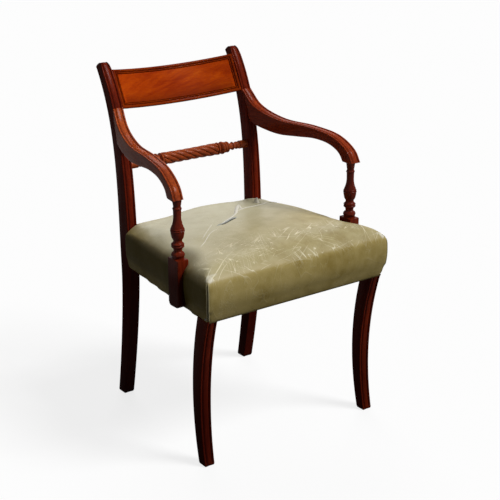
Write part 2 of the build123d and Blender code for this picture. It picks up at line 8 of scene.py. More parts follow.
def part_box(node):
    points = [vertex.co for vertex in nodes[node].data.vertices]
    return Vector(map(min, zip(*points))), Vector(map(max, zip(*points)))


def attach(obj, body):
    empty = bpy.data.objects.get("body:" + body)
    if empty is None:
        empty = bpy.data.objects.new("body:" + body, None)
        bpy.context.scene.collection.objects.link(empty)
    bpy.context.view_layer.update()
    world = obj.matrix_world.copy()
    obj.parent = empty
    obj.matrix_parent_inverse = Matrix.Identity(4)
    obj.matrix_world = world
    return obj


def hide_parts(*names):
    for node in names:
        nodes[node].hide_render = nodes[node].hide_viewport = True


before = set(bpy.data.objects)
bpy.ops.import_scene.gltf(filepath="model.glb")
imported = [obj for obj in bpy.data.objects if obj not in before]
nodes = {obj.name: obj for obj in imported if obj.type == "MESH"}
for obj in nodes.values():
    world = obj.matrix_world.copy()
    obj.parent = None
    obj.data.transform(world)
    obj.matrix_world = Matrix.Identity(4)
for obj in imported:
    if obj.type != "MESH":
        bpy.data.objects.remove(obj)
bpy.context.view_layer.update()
scene = bpy.context.scene
legOverhang = 0.017  # of the front legs' tops past their toes
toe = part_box("front_leg_left")[0].y + legOverhang  # depth of the front toes, all depths below are behind it
sides = ((-1, "left"), (1, "right"))
print("frame loaded,", len(nodes), "nodes, toes at", round(toe, 4))


# small maths
def mixed(a, b, share):
    return a + (b - a) * share


def eased(low, high, value):
    share = min(1.0, max(0.0, (value - low) / (high - low)))
    return share * share * (3 - 2 * share)


def spread(low, high, count):
    return [mixed(low, high, i / (count - 1)) for i in range(count)]


def circleOf(a, m, b):  # centre and radius of the circle through three flat points
    d = 2 * (a[0] * (m[1] - b[1]) + m[0] * (b[1] - a[1]) + b[0] * (a[1] - m[1]))
    sq = [p[0] ** 2 + p[1] ** 2 for p in (a, m, b)]
    cx = (sq[0] * (m[1] - b[1]) + sq[1] * (b[1] - a[1]) + sq[2] * (a[1] - m[1])) / d
    cy = (sq[0] * (b[0] - m[0]) + sq[1] * (a[0] - b[0]) + sq[2] * (m[0] - a[0])) / d
    return cx, cy, math.hypot(a[0] - cx, a[1] - cy)


def arcPoints(a, m, b, count):  # points along the arc from a through m to b
    cx, cy, radius = circleOf(a, m, b)
    turns = [math.atan2(p[1] - cy, p[0] - cx) for p in (a, m, b)]
    sweep = (turns[2] - turns[0] + math.pi) % (2 * math.pi) - math.pi
    return [(cx + radius * math.cos(turns[0] + sweep * s), cy + radius * math.sin(turns[0] + sweep * s))
            for s in spread(0, 1, count)]


def smoothPath(points, each):  # smooth line through all the points
    first = tuple(2 * p - q for p, q in zip(points[0], points[1]))
    last = tuple(2 * p - q for p, q in zip(points[-1], points[-2]))
    full = [Vector(p) for p in (first, *points, last)]
    path = []
    for p0, p1, p2, p3 in zip(full, full[1:], full[2:], full[3:]):
        t1, t2, t3 = (max(1e-9, (q - p).length ** 0.5) for p, q in ((p0, p1), (p1, p2), (p2, p3)))
        m1 = (p2 - p1) + t2 * ((p1 - p0) / t1 - (p2 - p0) / (t1 + t2))
        m2 = (p2 - p1) + t2 * ((p3 - p2) / t3 - (p3 - p1) / (t2 + t3))
        for s in [j / each for j in range(each)]:
            path.append(tuple((2 * s**3 - 3 * s**2 + 1) * p1 + (s**3 - 2 * s**2 + s) * m1
                              + (3 * s**2 - 2 * s**3) * p2 + (s**3 - s**2) * m2))
    path.append(tuple(points[-1]))
    return path


# mesh tools
def ringSweep(bm, ringCount, stationCount, place, closed=True):
    ring = [bm.verts.new(place(i, 0)) for i in range(ringCount)]
    pairs = ringCount if closed else ringCount - 1
    edges = [bm.edges.new((ring[i], ring[(i + 1) % ringCount])) for i in range(pairs)]
    first = list(edges)
    for k in range(1, stationCount):
        spots = {vert: i for i, vert in enumerate(ring)}
        made = bmesh.ops.extrude_edge_only(bm, edges=edges)["geom"]
        fresh = [None] * ringCount
        for vert in [g for g in made if isinstance(g, bmesh.types.BMVert)]:
            for edge in vert.link_edges:
                old = edge.other_vert(vert)
                if old in spots:
                    fresh[spots[old]] = vert
        for i, vert in enumerate(fresh):
            vert.co = place(i, k)
        edges = [bm.edges.get((fresh[i], fresh[(i + 1) % ringCount])) for i in range(pairs)]
        ring = fresh
    if closed:
        bmesh.ops.edgeloop_fill(bm, edges=first)
        bmesh.ops.edgeloop_fill(bm, edges=edges)


def sweptMesh(ringCount, stationCount, place, closed=True):
    bm = bmesh.new()
    ringSweep(bm, ringCount, stationCount, place, closed)
    return bm


def sliced(bm, at, normal, dist):  # cut along a plane, with both halves kept
    geom = list(bm.verts) + list(bm.edges) + list(bm.faces)
    bmesh.ops.bisect_plane(bm, geom=geom, plane_co=at, plane_no=normal, dist=dist)


def roundEdges(bm, offset, angle):
    sharp = [e for e in bm.edges if len(e.link_faces) == 2 and e.calc_face_angle() > math.radians(angle)]
    bmesh.ops.bevel(bm, geom=sharp, offset=offset, offset_type="OFFSET", affect="EDGES", segments=2,
                    profile=0.5, material=-1, clamp_overlap=True)


def plainObject(bm, name):
    mesh = bpy.data.meshes.new(name)
    bm.to_mesh(mesh)
    bm.free()
    thing = bpy.data.objects.new(name, mesh)
    scene.collection.objects.link(thing)
    return thing


def declare(piece, replaced):
    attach(piece, "root")
    if replaced:
        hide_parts(*replaced)


def finishPiece(bm, name, material, replaced=(), sharp=38):
    bmesh.ops.remove_doubles(bm, verts=bm.verts, dist=2e-6)
    bmesh.ops.recalc_face_normals(bm, faces=bm.faces)
    for face in bm.faces:
        face.smooth = True
    for edge in bm.edges:
        edge.smooth = len(edge.link_faces) == 2 and edge.calc_face_angle() < math.radians(sharp)
    piece = plainObject(bm, name)
    piece.data.materials.append(material)
    declare(piece, replaced)
    return piece


# shader tools
def mathStep(operation, flipped=False):  # a method that adds one maths node
    def step(self, *others):
        return self.maths(operation, *((*others, self) if flipped else (self, *others)))

    return step


class Value:  # a socket that can be added, multiplied and so on
    def __init__(self, tree, socket):
        self.tree, self.socket = tree, socket

    def maths(self, operation, *terms):
        node = self.tree.nodes.new("ShaderNodeMath")
        node.operation = operation
        for i, term in enumerate(terms):
            if isinstance(term, Value):
                self.tree.links.new(term.socket, node.inputs[i])
            else:
                node.inputs[i].default_value = term
        return Value(self.tree, node.outputs[0])

    __add__ = __radd__ = mathStep("ADD")
    __sub__, __rsub__ = mathStep("SUBTRACT"), mathStep("SUBTRACT", True)
    __mul__ = __rmul__ = mathStep("MULTIPLY")
    __truediv__ = mathStep("DIVIDE")
    most, least = mathStep("MAXIMUM"), mathStep("MINIMUM")
    size, sine = mathStep("ABSOLUTE"), mathStep("SINE")

    def ease(self, low, high):  # 0 below low, 1 above high
        node = self.tree.nodes.new("ShaderNodeMapRange")
        node.interpolation_type = "SMOOTHSTEP"
        self.tree.links.new(self.socket, node.inputs["Value"])
        node.inputs["From Min"].default_value = low
        node.inputs["From Max"].default_value = high
        return Value(self.tree, node.outputs[0])


class Finish:  # a material and the nodes that it gets
    def __init__(self, name, **constants):
        self.material = bpy.data.materials.new(name)
        self.material.use_nodes = True
        self.tree = self.material.node_tree
        self.shader = self.tree.nodes["Principled BSDF"]
        for socket, value in constants.items():
            self.shader.inputs[socket.replace("_", " ")].default_value = value

    def node(self, kind, settings, links, out=0):
        node = self.tree.nodes.new(kind)
        for key, value in settings.items():
            if key == "stops":
                while len(node.color_ramp.elements) < len(value):
                    node.color_ramp.elements.new(0.5)
                for element, (position, colour) in zip(node.color_ramp.elements, value):
                    element.position = position
                    element.color = (*colour, 1)
            else:
                setattr(node, key, value)
        for key, value in links.items():
            if isinstance(value, Value):
                self.tree.links.new(value.socket, node.inputs[key])
            else:
                node.inputs[key].default_value = value
        return Value(self.tree, node.outputs[out])

    def spot(self, scale=(1, 1, 1), turn=(0, 0, 0), shift=(0, 0, 0)):  # object coordinates, stretched
        where = self.node("ShaderNodeTexCoord", {}, {}, "Object")
        return self.node("ShaderNodeMapping", {"vector_type": "TEXTURE"}, {
            "Vector": where, "Scale": tuple(1 / v for v in scale), "Rotation": turn, "Location": shift})

    def axes(self):
        where = self.node("ShaderNodeTexCoord", {}, {}, "Object")
        return [self.node("ShaderNodeSeparateXYZ", {}, {"Vector": where}, axis) for axis in ("X", "Y", "Z")]

    def speckle(self, where, scale, detail=2.0, rough=0.5, bend=0.0):
        return self.node("ShaderNodeTexNoise", {}, {"Vector": where, "Scale": scale, "Detail": detail,
                                                    "Roughness": rough, "Distortion": bend})

    def cells(self, where, scale, feature="F1"):
        return self.node("ShaderNodeTexVoronoi", {"feature": feature},
                         {"Vector": where, "Scale": scale}, "Distance")

    def pointiness(self):
        return self.node("ShaderNodeNewGeometry", {}, {}, "Pointiness")

    def ramp(self, value, stops):
        return self.node("ShaderNodeValToRGB", {"stops": stops}, {"Fac": value})

    def blend(self, share, a, b, how="MIX"):
        a, b = [v if isinstance(v, Value) else (*v, 1) for v in (a, b)]
        return self.node("ShaderNodeMix", {"data_type": "RGBA", "blend_type": how}, {0: share, 6: a, 7: b}, 2)

    def bump(self, height, distance, strength=1.0):
        return self.node("ShaderNodeBump", {}, {"Height": height, "Distance": distance, "Strength": strength})

    def use(self, **links):
        for key, value in links.items():
            self.tree.links.new(value.socket, self.shader.inputs[key.replace("_", " ")])
        return self.material


# finishes
polish = {
    "dark": (0.008, 0.0008, 0.0006), "middle": (0.036, 0.0042, 0.002), "light": (0.085, 0.012, 0.004),
    "worn": (0.26, 0.055, 0.018), "rough": 0.16, "edge": (0.52, 0.6), "hollow": (0.4, 0.485),
}


def mahogany(name, turn, tone, coat, shadeBelow=None):  # French-polished, the grain along local Z after the turn
    f = Finish(name, Coat_IOR=1.5, Coat_Roughness=0.2, Specular_IOR_Level=0)
    broad = f.speckle(f.spot((1, 1, 0.12), turn), 16, 3, 0.55, 0.6)
    streaks = f.speckle(f.spot((1, 1, 0.035), turn), 240, 4, 0.6)
    pores = f.speckle(f.spot((1, 1, 0.03), turn, (3, 1, 2)), 1500, 1).ease(0.6, 0.72)
    value = (broad * 0.55 + streaks * 0.45 - 0.5) * 0.62 + 0.52
    colour = f.ramp(value, [(0.3, polish["dark"]), (0.5, polish["middle"]), (0.68, polish["light"])])
    bend = f.pointiness()
    edge, hollow = bend.ease(*polish["edge"]), 1 - bend.ease(*polish["hollow"])
    rub = f.speckle(f.spot(), 55, 3).ease(0.42, 0.66)
    colour = f.blend(pores * 0.6, colour, polish["dark"])
    colour = f.blend(1.0, colour, tone, "MULTIPLY")
    # lighter on the worn edges: wear there, and a painted highlight along the ridges
    colour = f.blend(edge * rub * 0.35, colour, polish["worn"])
    if shadeBelow:  # painted shade: darker towards the floor, and duller there too
        unshaded = f.axes()[2].ease(*shadeBelow)
        colour = f.blend((1 - unshaded) * 0.55, colour, polish["dark"])
        coat = (unshaded * 0.7 + 0.3) * coat
    colour = f.blend(hollow * 0.85, colour, polish["dark"])  # darker in the grooves
    smear = f.speckle(f.spot((1, 1, 0.5), turn), 38, 4)
    rough = smear * 0.16 + polish["rough"]
    height = pores * -0.6 + streaks * 0.4
    return f.use(Base_Color=colour, Roughness=rough, Coat_Weight=(smear * 0.8 + 0.6) * coat,
                 Normal=f.bump(height, 0.00012, 0.6))


flameTones = [(0.3, (0.2, 0.014, 0.001)), (0.44, (0.36, 0.033, 0.0014)), (0.56, (0.5, 0.06, 0.0018)),
              (0.7, (0.68, 0.12, 0.003))]
flameDark = (0.07, 0.006, 0.001)


def figuredVeneer(name, shade):  # flame figure across the crest's panel
    f = Finish(name, Coat_IOR=1.5, Coat_Roughness=0.18, Specular_IOR_Level=0)
    drift = f.speckle(f.spot((1, 1, 1.6)), 7, 3, 0.5, 0.4)
    fibre = f.speckle(f.spot((0.05, 1, 1), (0, math.radians(4), 0)), 420, 4, 0.6)
    flame = f.speckle(f.spot((0.35, 1, 2.4), (0, math.radians(-12), 0)), 20, 4, 0.55, 1.4)
    pores = f.speckle(f.spot((0.03, 1, 1)), 1700, 1).ease(0.62, 0.74)
    value = drift * 0.35 + flame * 0.45 + fibre * 0.2
    colour = f.ramp(value, [(at, tuple(c * shade for c in tone)) for at, tone in flameTones])
    hollow = 1 - f.pointiness().ease(*polish["hollow"])
    colour = f.blend((pores * 0.4).most(hollow * 0.85), colour, flameDark)
    rough = 0.26 + drift * 0.12
    return f.use(Base_Color=colour, Roughness=rough, Coat_Weight=drift * 0.06 + 0.02,
                 Normal=f.bump(fibre * 0.5 - pores * 0.5, 0.0001, 0.5))


def bareBeech():
    f = Finish("bareBeech", Specular_IOR_Level=0.3)
    rings = f.speckle(f.spot((0.1, 1, 1)), 60, 4, 0.6, 0.5)
    flecks = f.cells(f.spot((0.25, 1, 1)), 420).ease(0.05, 0.18)
    dust = f.speckle(f.spot(), 14, 5)
    colour = f.ramp(rings, [(0.32, (0.2, 0.11, 0.05)), (0.6, (0.36, 0.23, 0.12))])
    colour = f.blend((1 - flecks) * 0.4, colour, (0.16, 0.085, 0.04))
    colour = f.blend(dust.ease(0.5, 0.75) * 0.6, colour, (0.11, 0.075, 0.045))
    return f.use(Base_Color=colour, Roughness=rings * 0.2 + 0.6,
                 Normal=f.bump(rings + flecks * 0.2, 0.0004, 0.6))


def wovenJute(name, pitch, warp, weft, gaps):  # plain weave of the given thread pitch, flat in XY
    f = Finish(name, Specular_IOR_Level=0.2, Sheen_Weight=0.15)
    x, y = f.axes()[:2]
    across, along = (x / pitch * math.pi).sine(), (y / pitch * math.pi).sine()
    over = (across * along).ease(-0.4, 0.4)
    fuzz = f.speckle(f.spot(), 900, 3)
    worn = f.speckle(f.spot(), 22, 4)
    colour = f.blend(over, warp, weft)
    colour = f.blend(fuzz.ease(0.4, 0.8) * 0.35 + worn.ease(0.45, 0.75) * 0.3, colour, (0.09, 0.06, 0.03))
    threads = across.size() * (1 - over) + along.size() * over
    colour = f.blend((1 - threads) * gaps, colour, (0.03, 0.022, 0.014))
    return f.use(Base_Color=colour, Roughness=fuzz * 0.1 + 0.8,
                 Normal=f.bump(threads + fuzz * 0.4, pitch * 0.35, 0.8))


def darkIron(name, rustShare):
    f = Finish(name, Specular_IOR_Level=0.5)
    grain = f.speckle(f.spot(), 900, 4)
    rust = f.speckle(f.spot(), 160, 5, 0.6).ease(0.48, 0.66) * rustShare
    colour = f.blend(rust, (0.035, 0.034, 0.036), (0.12, 0.045, 0.018))
    return f.use(Base_Color=colour, Metallic=1 - rust, Roughness=grain * 0.25 + rust * 0.3 + 0.25,
                 Normal=f.bump(grain, 0.00015, 0.6))


def curledHair():
    f = Finish("curledHair", Specular_IOR_Level=0.3)
    strands = f.speckle(f.spot((1, 1, 0.6)), 260, 5, 0.65, 2.2)
    colour = f.ramp(strands, [(0.35, (0.012, 0.01, 0.009)), (0.62, (0.07, 0.055, 0.045))])
    return f.use(Base_Color=colour, Roughness=strands * 0.3 + 0.5, Normal=f.bump(strands, 0.003, 1.0))


grainUp, grainBack, grainAcross = (0, 0, 0), (math.radians(90), 0, 0), (0, math.radians(90), 0)
upGrain = mahogany("mahoganyUpright", grainUp, tone=(3.1, 2.2, 1.4), coat=0.06, shadeBelow=(0.33, 0.47))
legGrain = mahogany("mahoganyLeg", grainUp, tone=(3.0, 2.4, 1.6), coat=0.035, shadeBelow=(0.06, 0.35))
# lit and shaded copies of one finish: the left arm painted lighter and the right arm darker, for how the
# light falls on them
foreGrain = {"left": mahogany("mahoganyArmLit_left", grainBack, tone=(8.0, 10.5, 4.6), coat=0.15),
             "right": mahogany("mahoganyArmShaded_right", grainBack, tone=(5.4, 5.4, 3.0), coat=0.11)}
turnedGrain = mahogany("mahoganyTurned", grainUp, tone=(3.4, 2.7, 1.6), coat=0.13, shadeBelow=(0.42, 0.49))
ropeGrain = mahogany("mahoganyRope", grainAcross, tone=(8.0, 12, 6), coat=0.16)
crestBorder = figuredVeneer("crestBorder", 0.5)
veneer = figuredVeneer("figuredVeneer", 0.95)
print("wood finishes ready")


# reeded bars: uprights, legs and arms
reed = {"bead": 0.005, "groove": 0.0024, "deep": 0.0026, "edge": 0.0012}


def reedColumns(width):  # offset, depth where reeded, depth where plain
    h, b, g, d, e = width / 2, reed["bead"], reed["groove"], reed["deep"], reed["edge"]
    half = [(h, d + 0.0004, e), (h - 0.0002, d * 0.55, e * 0.45), (h - 0.0007, d * 0.22, e * 0.12),
            (h - 0.0015, d * 0.05, 0), (h - b / 2, 0, 0), (h - b + 0.0012, d * 0.12, 0),
            (h - b + 0.0005, d * 0.4, 0), (h - b, d * 0.85, 0), (h - b - g / 2, d, 0),
            (h - b - g, d * 0.75, 0), (h - b - g - 0.0006, d * 0.38, 0), (h - b - g - 0.0018, d * 0.16, 0),
            (h * 0.22, d * 0.02, 0)]
    return [(-o, r, p) for o, r, p in half] + [(0, 0, 0)] + half[::-1]


def reededBar(outline, width, middle, side):
    columns = reedColumns(width)
    count = len(outline)
    area = sum(outline[i][0] * outline[(i + 1) % count][1] - outline[(i + 1) % count][0] * outline[i][1]
               for i in range(count))
    turn = 1 if area > 0 else -1
    inward = []
    for i in range(count):
        a, b = outline[i - 1], outline[(i + 1) % count]
        run = Vector((b[0] - a[0], b[1] - a[1])).normalized()
        inward.append(Vector((-run.y, run.x)) * turn)

    def place(i, k):
        y, z, share = outline[i]
        offset, reeded, plain = columns[k]
        deep = reeded * share + plain * (1 - share)
        y, z = y + inward[i].x * deep, z + inward[i].y * deep
        return Vector((side * (middle + offset), toe + y, z))

    return sweptMesh(count, len(columns), place)


def softFoot(bm, reach=0.0055, rub=0.003):  # the worn edge round the sole
    for share in (0.2, 0.5, 1):
        sliced(bm, (0, 0, reach * share), (0, 0, 1), 1e-6)
    foot = [v for v in bm.verts if v.co.z < reach]
    middle = sum((v.co for v in foot), Vector()) / len(foot)
    for vert in foot:
        share = (1 - vert.co.z / reach) ** 2
        away = Vector((vert.co.x - middle.x, vert.co.y - middle.y, 0))
        vert.co -= away.normalized() * min(rub, away.length * 0.3) * share


upright = {
    "inner": 0.176, "width": 0.028, "front": 0.391, "foot": 0.029, "seat": 0.040, "top": 0.026,
    "level": 0.340, "knuckle": 0.843, "roll": 0.013, "rollEnd": 8, "rake": 0.047, "lean": 0.020,
    "sweep": 0.083, "reedsFrom": 0.405, "reedsFull": 0.435, "pinch": 0.34, "pinchReach": 0.016,
    "frontSteps": 60, "rollSteps": 18, "backSteps": 44,
}


def uprightFront(z):
    leg = max(0.0, 1 - z / upright["level"])
    back = max(0.0, (z - upright["level"]) / (upright["knuckle"] - upright["level"]))
    return upright["front"] + upright["rake"] * leg**1.5 + upright["lean"] * back + upright["sweep"] * back**4


def uprightDepth(z):
    if z < upright["level"]:
        return mixed(upright["foot"], upright["seat"], z / upright["level"])
    back = (z - upright["level"]) / (upright["knuckle"] - upright["level"])
    return mixed(upright["seat"], upright["top"], back**1.6)


def makeUprights():
    u = upright
    slope = math.atan((u["lean"] + 4 * u["sweep"]) / (u["knuckle"] - u["level"]))
    ky = uprightFront(u["knuckle"]) + u["roll"] * math.cos(slope)
    kz = u["knuckle"] - u["roll"] * math.sin(slope)
    outline = [(uprightFront(z), z, eased(u["reedsFrom"], u["reedsFull"], z))
               for z in spread(0, u["knuckle"], u["frontSteps"])]
    for turn in spread(math.pi - slope, math.radians(u["rollEnd"]), u["rollSteps"])[1:]:
        spot = ky + u["roll"] * math.cos(turn), kz + u["roll"] * math.sin(turn)
        outline.append((*spot, eased(0.1, 0.7, turn)))
    outline += [(uprightFront(z) + uprightDepth(z), z, 0) for z in spread(kz - 0.002, 0, u["backSteps"])]
    middle = u["inner"] + u["width"] / 2
    crownTop = kz + u["roll"]
    for side, name in sides:
        bm = reededBar(outline, u["width"], middle, side)
        softFoot(bm)
        for vert in bm.verts:  # rounded ends of the scrolled top
            away = side * vert.co.x - middle
            pinch = u["pinch"] * eased(crownTop - u["pinchReach"], crownTop, vert.co.z) ** 2
            vert.co.x -= side * away * pinch * (2 * abs(away) / u["width"]) ** 2
        finishPiece(bm, "rearUpright_" + name, upGrain, ["rear_upright_" + name])


leg = {
    "inner": 0.2265, "width": 0.027, "shoulder": 0.3657, "middle": 0.172, "belly": 0.0032,
    "front": (0.0, 0.0165, -legOverhang), "back": (0.025, 0.047, 0.024), "reedFade": 0.004, "stations": 44,
    "postTop": 0.432, "postSink": 0.002, "postFront": -0.014, "postBack": 0.027, "postOuter": 0.248,
}


def makeFrontLegs():
    heights = (0, leg["middle"], leg["shoulder"])
    front, back = (arcPoints(*zip(leg[line], heights), leg["stations"]) for line in ("front", "back"))
    outline = [(y, z, eased(0.0, leg["reedFade"], z)) for y, z in front]
    outline += [(y, z, 0) for y, z in reversed(back)]
    middle = leg["inner"] + leg["width"] / 2
    low = Vector((leg["inner"], leg["postFront"], leg["shoulder"] - leg["postSink"]))
    high = Vector((leg["postOuter"], leg["postBack"], leg["postTop"]))
    x, y, z = (low + high) / 2
    for side, name in sides:
        bm = reededBar(outline, leg["width"], middle, side)
        softFoot(bm)
        for vert in bm.verts:  # a little stouter half-way up, towards the inside
            stout = leg["belly"] * math.sin(math.pi * min(1.0, vert.co.z / leg["shoulder"]))
            vert.co.x -= side * stout * (leg["inner"] + leg["width"] - side * vert.co.x) / leg["width"]
        post = Matrix.LocRotScale(Vector((side * x, toe + y, z)), None, high - low)
        bmesh.ops.create_cube(bm, size=1, matrix=post)  # square post inside the seat
        finishPiece(bm, "frontLeg_" + name, legGrain, ["front_leg_" + name])


arm = {
    "level": 0.683, "thick": 0.027, "width": 0.0285, "lift": 0.0015, "rootTop": 0.748, "rootBottom": 0.668,
    "endLevel": 0.618, "endFront": 0.087, "endDepth": 0.031, "endX": 0.2555, "bow": 0.0065, "gap": 0.0001,
    "stations": 90, "topSteps": 12, "underSteps": 9, "sideShares": (0.2, 0.4, 0.6, 0.8),
    "underEdge": [(1, 0.0014), (0.97, 0.0004), (0.9, 0), (0.4, 0)],
    "topShape": [(0.1, 0.026), (0.31, 0.002), (0.6, -0.001), (0.82, -0.012), (0.955, -0.040)],
    "underShape": [(0.04, -0.020), (0.14, -0.004), (0.3, 0.002), (0.5, -0.003), (0.7, -0.007), (0.9, 0.002)],
}


def evenly(path, count):  # points at equal steps along a line
    marks = [0.0]
    for p, q in zip(path, path[1:]):
        marks.append(marks[-1] + math.dist(p, q))
    points, i = [], 0
    for mark in spread(0, marks[-1], count):
        while i < len(path) - 2 and marks[i + 1] < mark:
            i += 1
        share = (mark - marks[i]) / max(1e-9, marks[i + 1] - marks[i])
        points.append(Vector(path[i]).lerp(Vector(path[i + 1]), min(1.0, share)))
    return points


def makeArms():
    a = arm
    root = uprightFront(a["rootTop"]) - a["gap"]
    length = root - a["endFront"]
    top = [(root, a["rootTop"])] + [(root - s * length, a["level"] + a["lift"] + r) for s, r in a["topShape"]]
    top = evenly(smoothPath(top + [(a["endFront"], a["endLevel"])], a["topSteps"]), a["stations"])
    foot = uprightFront(a["rootBottom"]) - a["gap"]
    back = a["endFront"] + a["endDepth"]
    low = a["level"] - a["thick"]
    under = [(back, a["endLevel"])] + [(back + s * (foot - back), low + r) for s, r in a["underShape"]]
    under = evenly(smoothPath(under + [(foot, a["rootBottom"])], a["underSteps"])[::-1], a["stations"])
    start = (uprightFront(a["rootTop"]), upright["inner"] + upright["width"] / 2)
    end = (a["endFront"], a["endX"])
    half = ((start[0] + end[0]) / 2, (start[1] + end[1]) / 2 + a["bow"])
    cy, cx, radius = circleOf(start, half, end)
    edge = a["width"] / 2
    around = [(edge, reed["deep"], s) for s in a["sideShares"]]
    around += [(edge * s, rise, 1.0) for s, rise in a["underEdge"]]
    columns = [(offset, deep, 0.0) for offset, deep, plain in reedColumns(a["width"])] + around
    columns += [(-offset, deep, share) for offset, deep, share in reversed(around)]

    def section(i, k, side):  # from the reeded top down to the underside
        offset, deep, share = columns[i]
        run = top[min(k + 1, len(top) - 1)] - top[max(k - 1, 0)]
        into = Vector((-run.y, run.x)).normalized()
        if share == 1:
            spot = under[k] - into * deep
        else:
            spot = (top[k] + into * deep).lerp(under[k], share)
        bend = cx + math.sqrt(radius**2 - (spot.x - cy) ** 2)
        return Vector((side * (bend + offset), toe + spot.x, spot.y))

    for side, name in sides:
        bm = sweptMesh(len(columns), a["stations"], lambda i, k: section(i, k, side))
        finishPiece(bm, "sweptArm_" + name, foreGrain[name], ["arm_" + name])


makeUprights()
makeFrontLegs()
makeArms()
print("uprights, legs and arms made")


# turned work
def turnedLine(start, steps, each=7):  # radius and height along a turning
    line = [(start, 0.0)]
    for rise, end, bulge in steps:
        r0, h0 = line[-1]
        count = each if bulge else 1
        for s in [j / count for j in range(1, count + 1)]:
            line.append((mixed(r0, end / 1000, s) + 4 * bulge / 1000 * s * (1 - s), h0 + rise / 1000 * s))
    return line


def turnOnLathe(bm, line, matrix, steps=56):
    before = set(bm.verts)
    points = [(0, line[0][1])] + line + [(0, line[-1][1])]
    verts = [bm.verts.new((r, 0, h)) for r, h in points]
    edges = [bm.edges.new(pair) for pair in zip(verts, verts[1:])]
    bmesh.ops.spin(bm, geom=verts + edges, cent=(0, 0, 0), axis=(0, 0, 1), angle=2 * math.pi, steps=steps,
                   use_merge=True, use_duplicate=False)
    bmesh.ops.transform(bm, matrix=matrix, verts=[v for v in bm.verts if v not in before])


support = {
    "out": 0.0114, "y": 0.101, "width": 0.028, "depth": 0.040, "low": 0.367, "top": 0.480, "roll": 0.009,
    "clear": 0.0004, "thinnest": 0.006, "bevel": 0.0008, "levels": 40, "ends": 15, "armLevel": 0.618,
    "collar": 10.4, "stout": 1.06,
    "turning": [(3, 14, 0), (0, 11, 0), (12, 11, 4.4), (5, 9.5, -1.2), (6, 12, -1), (5, 12.4, 2.6),
                (5, 12, 2.6), (8, 9.8, -1.4), (19, 15.6, 1.6), (4, 15, 1.2), (4, 14.4, 1.2), (18, 9, -0.8),
                (14, 8.5, -0.3), (10, 8.7, 0), (5, 8.7, 1.2), (6, 8.7, -0.6)],
}
seat = {
    "bottom": 0.366, "crown": 0.488, "front": -0.014, "rear": 0.423, "frontHalf": 0.253, "stileHalf": 0.204,
    "tilt": 2.6, "fullness": 1.8, "fullFade": 0.006,
    "wall": [(0, 2.5), (18, 6), (42, 9.5), (70, 10)],
    "dome": [(33, 7), (21, -4), (13, -20), (7, -46), (2.5, -86), (0, -128)],
}
seatProfile = [(seat["bottom"] + r / 1000, o / 1000) for r, o in seat["wall"]]
seatProfile += [(seat["crown"] - d / 1000, o / 1000) for d, o in seat["dome"]]
wallTop = seatProfile[len(seat["wall"]) - 1][0]


def frameHalf(y):
    taper = (seat["frontHalf"] - seat["stileHalf"]) / (upright["front"] - seat["front"])
    return seat["frontHalf"] - taper * (y - seat["front"])


def seatOutset(z):  # how far the stuffed side stands out from the frame at a level
    for (z0, o0), (z1, o1) in zip(seatProfile, seatProfile[1:]):
        if z <= z1:
            return mixed(o0, o1, max(0.0, (z - z0) / (z1 - z0)))
    return seatProfile[-1][1]


def makeSupports():
    s = support
    x = frameHalf(s["y"]) + s["out"]
    collar = s["armLevel"] - s["top"] - sum(step[0] for step in s["turning"]) / 1000
    line = turnedLine(s["width"] / 2, s["turning"] + [(collar * 1000, s["collar"], 0)])
    line = [(min(s["width"] / 2, r * s["stout"]) if r < s["width"] / 2 else r, h) for r, h in line]
    levels = spread(s["low"], s["top"], s["levels"])
    outer, inner = x + s["width"] / 2, x - s["width"] / 2
    outline = [(outer, z, 0) for z in (s["low"], s["top"])] + [(inner, z, 1) for z in reversed(levels)]
    ends = spread(-s["depth"] / 2, s["depth"] / 2, s["ends"])

    def block(i, k, side):  # cut to the leather on its inside, round at the foot
        px, z, leathered = outline[i]
        y = s["y"] + ends[k]
        edge = s["depth"] / 2 - abs(ends[k])
        if edge < s["roll"]:
            z = max(z, s["low"] + s["roll"] - math.sqrt(max(0, s["roll"] ** 2 - (s["roll"] - edge) ** 2)))
        if leathered:
            px = min(outer - s["thinnest"], max(px, frameHalf(y) + seatOutset(z) + s["clear"]))
        return Vector((side * px, toe + y, z))

    for side, name in sides:
        bm = sweptMesh(len(outline), len(ends), lambda i, k: block(i, k, side))
        bmesh.ops.remove_doubles(bm, verts=bm.verts, dist=1e-5)
        bmesh.ops.dissolve_degenerate(bm, dist=1e-5, edges=bm.edges)
        roundEdges(bm, s["bevel"], 60)
        turnOnLathe(bm, line, Matrix.Translation((side * x, toe + s["y"], s["top"])))
        finishPiece(bm, "armSupport_" + name, turnedGrain, ["arm_support_" + name], 32)


rope = {
    "level": 0.6089, "half": 0.082, "radius": 0.0148, "swell": 0.0012, "hollow": 0.0032, "lead": 0.140,
    "strands": 6, "each": 12, "stations": 150, "closeOver": 0.004, "closeBy": 0.0025, "endRadius": 13,
    "collar": 10, "latheSteps": 48,
    "rings": [(1, 15, 0), (4, 15, 1), (1, 9.5, 0), (4, 10, -1), (2, 13, 0), (9, 13, 3.2), (1, 12, 0),
              (6, 12, 1.8), (1, 12, 0), (7, 11.5, 2.4), (8, 8, -2), (3, 8, 0), (5, 8, 2.6), (5, 7.5, -0.6),
              (9, 8.5, 1.6), (4, 8, -1), (1, 10.5, 0)],
}


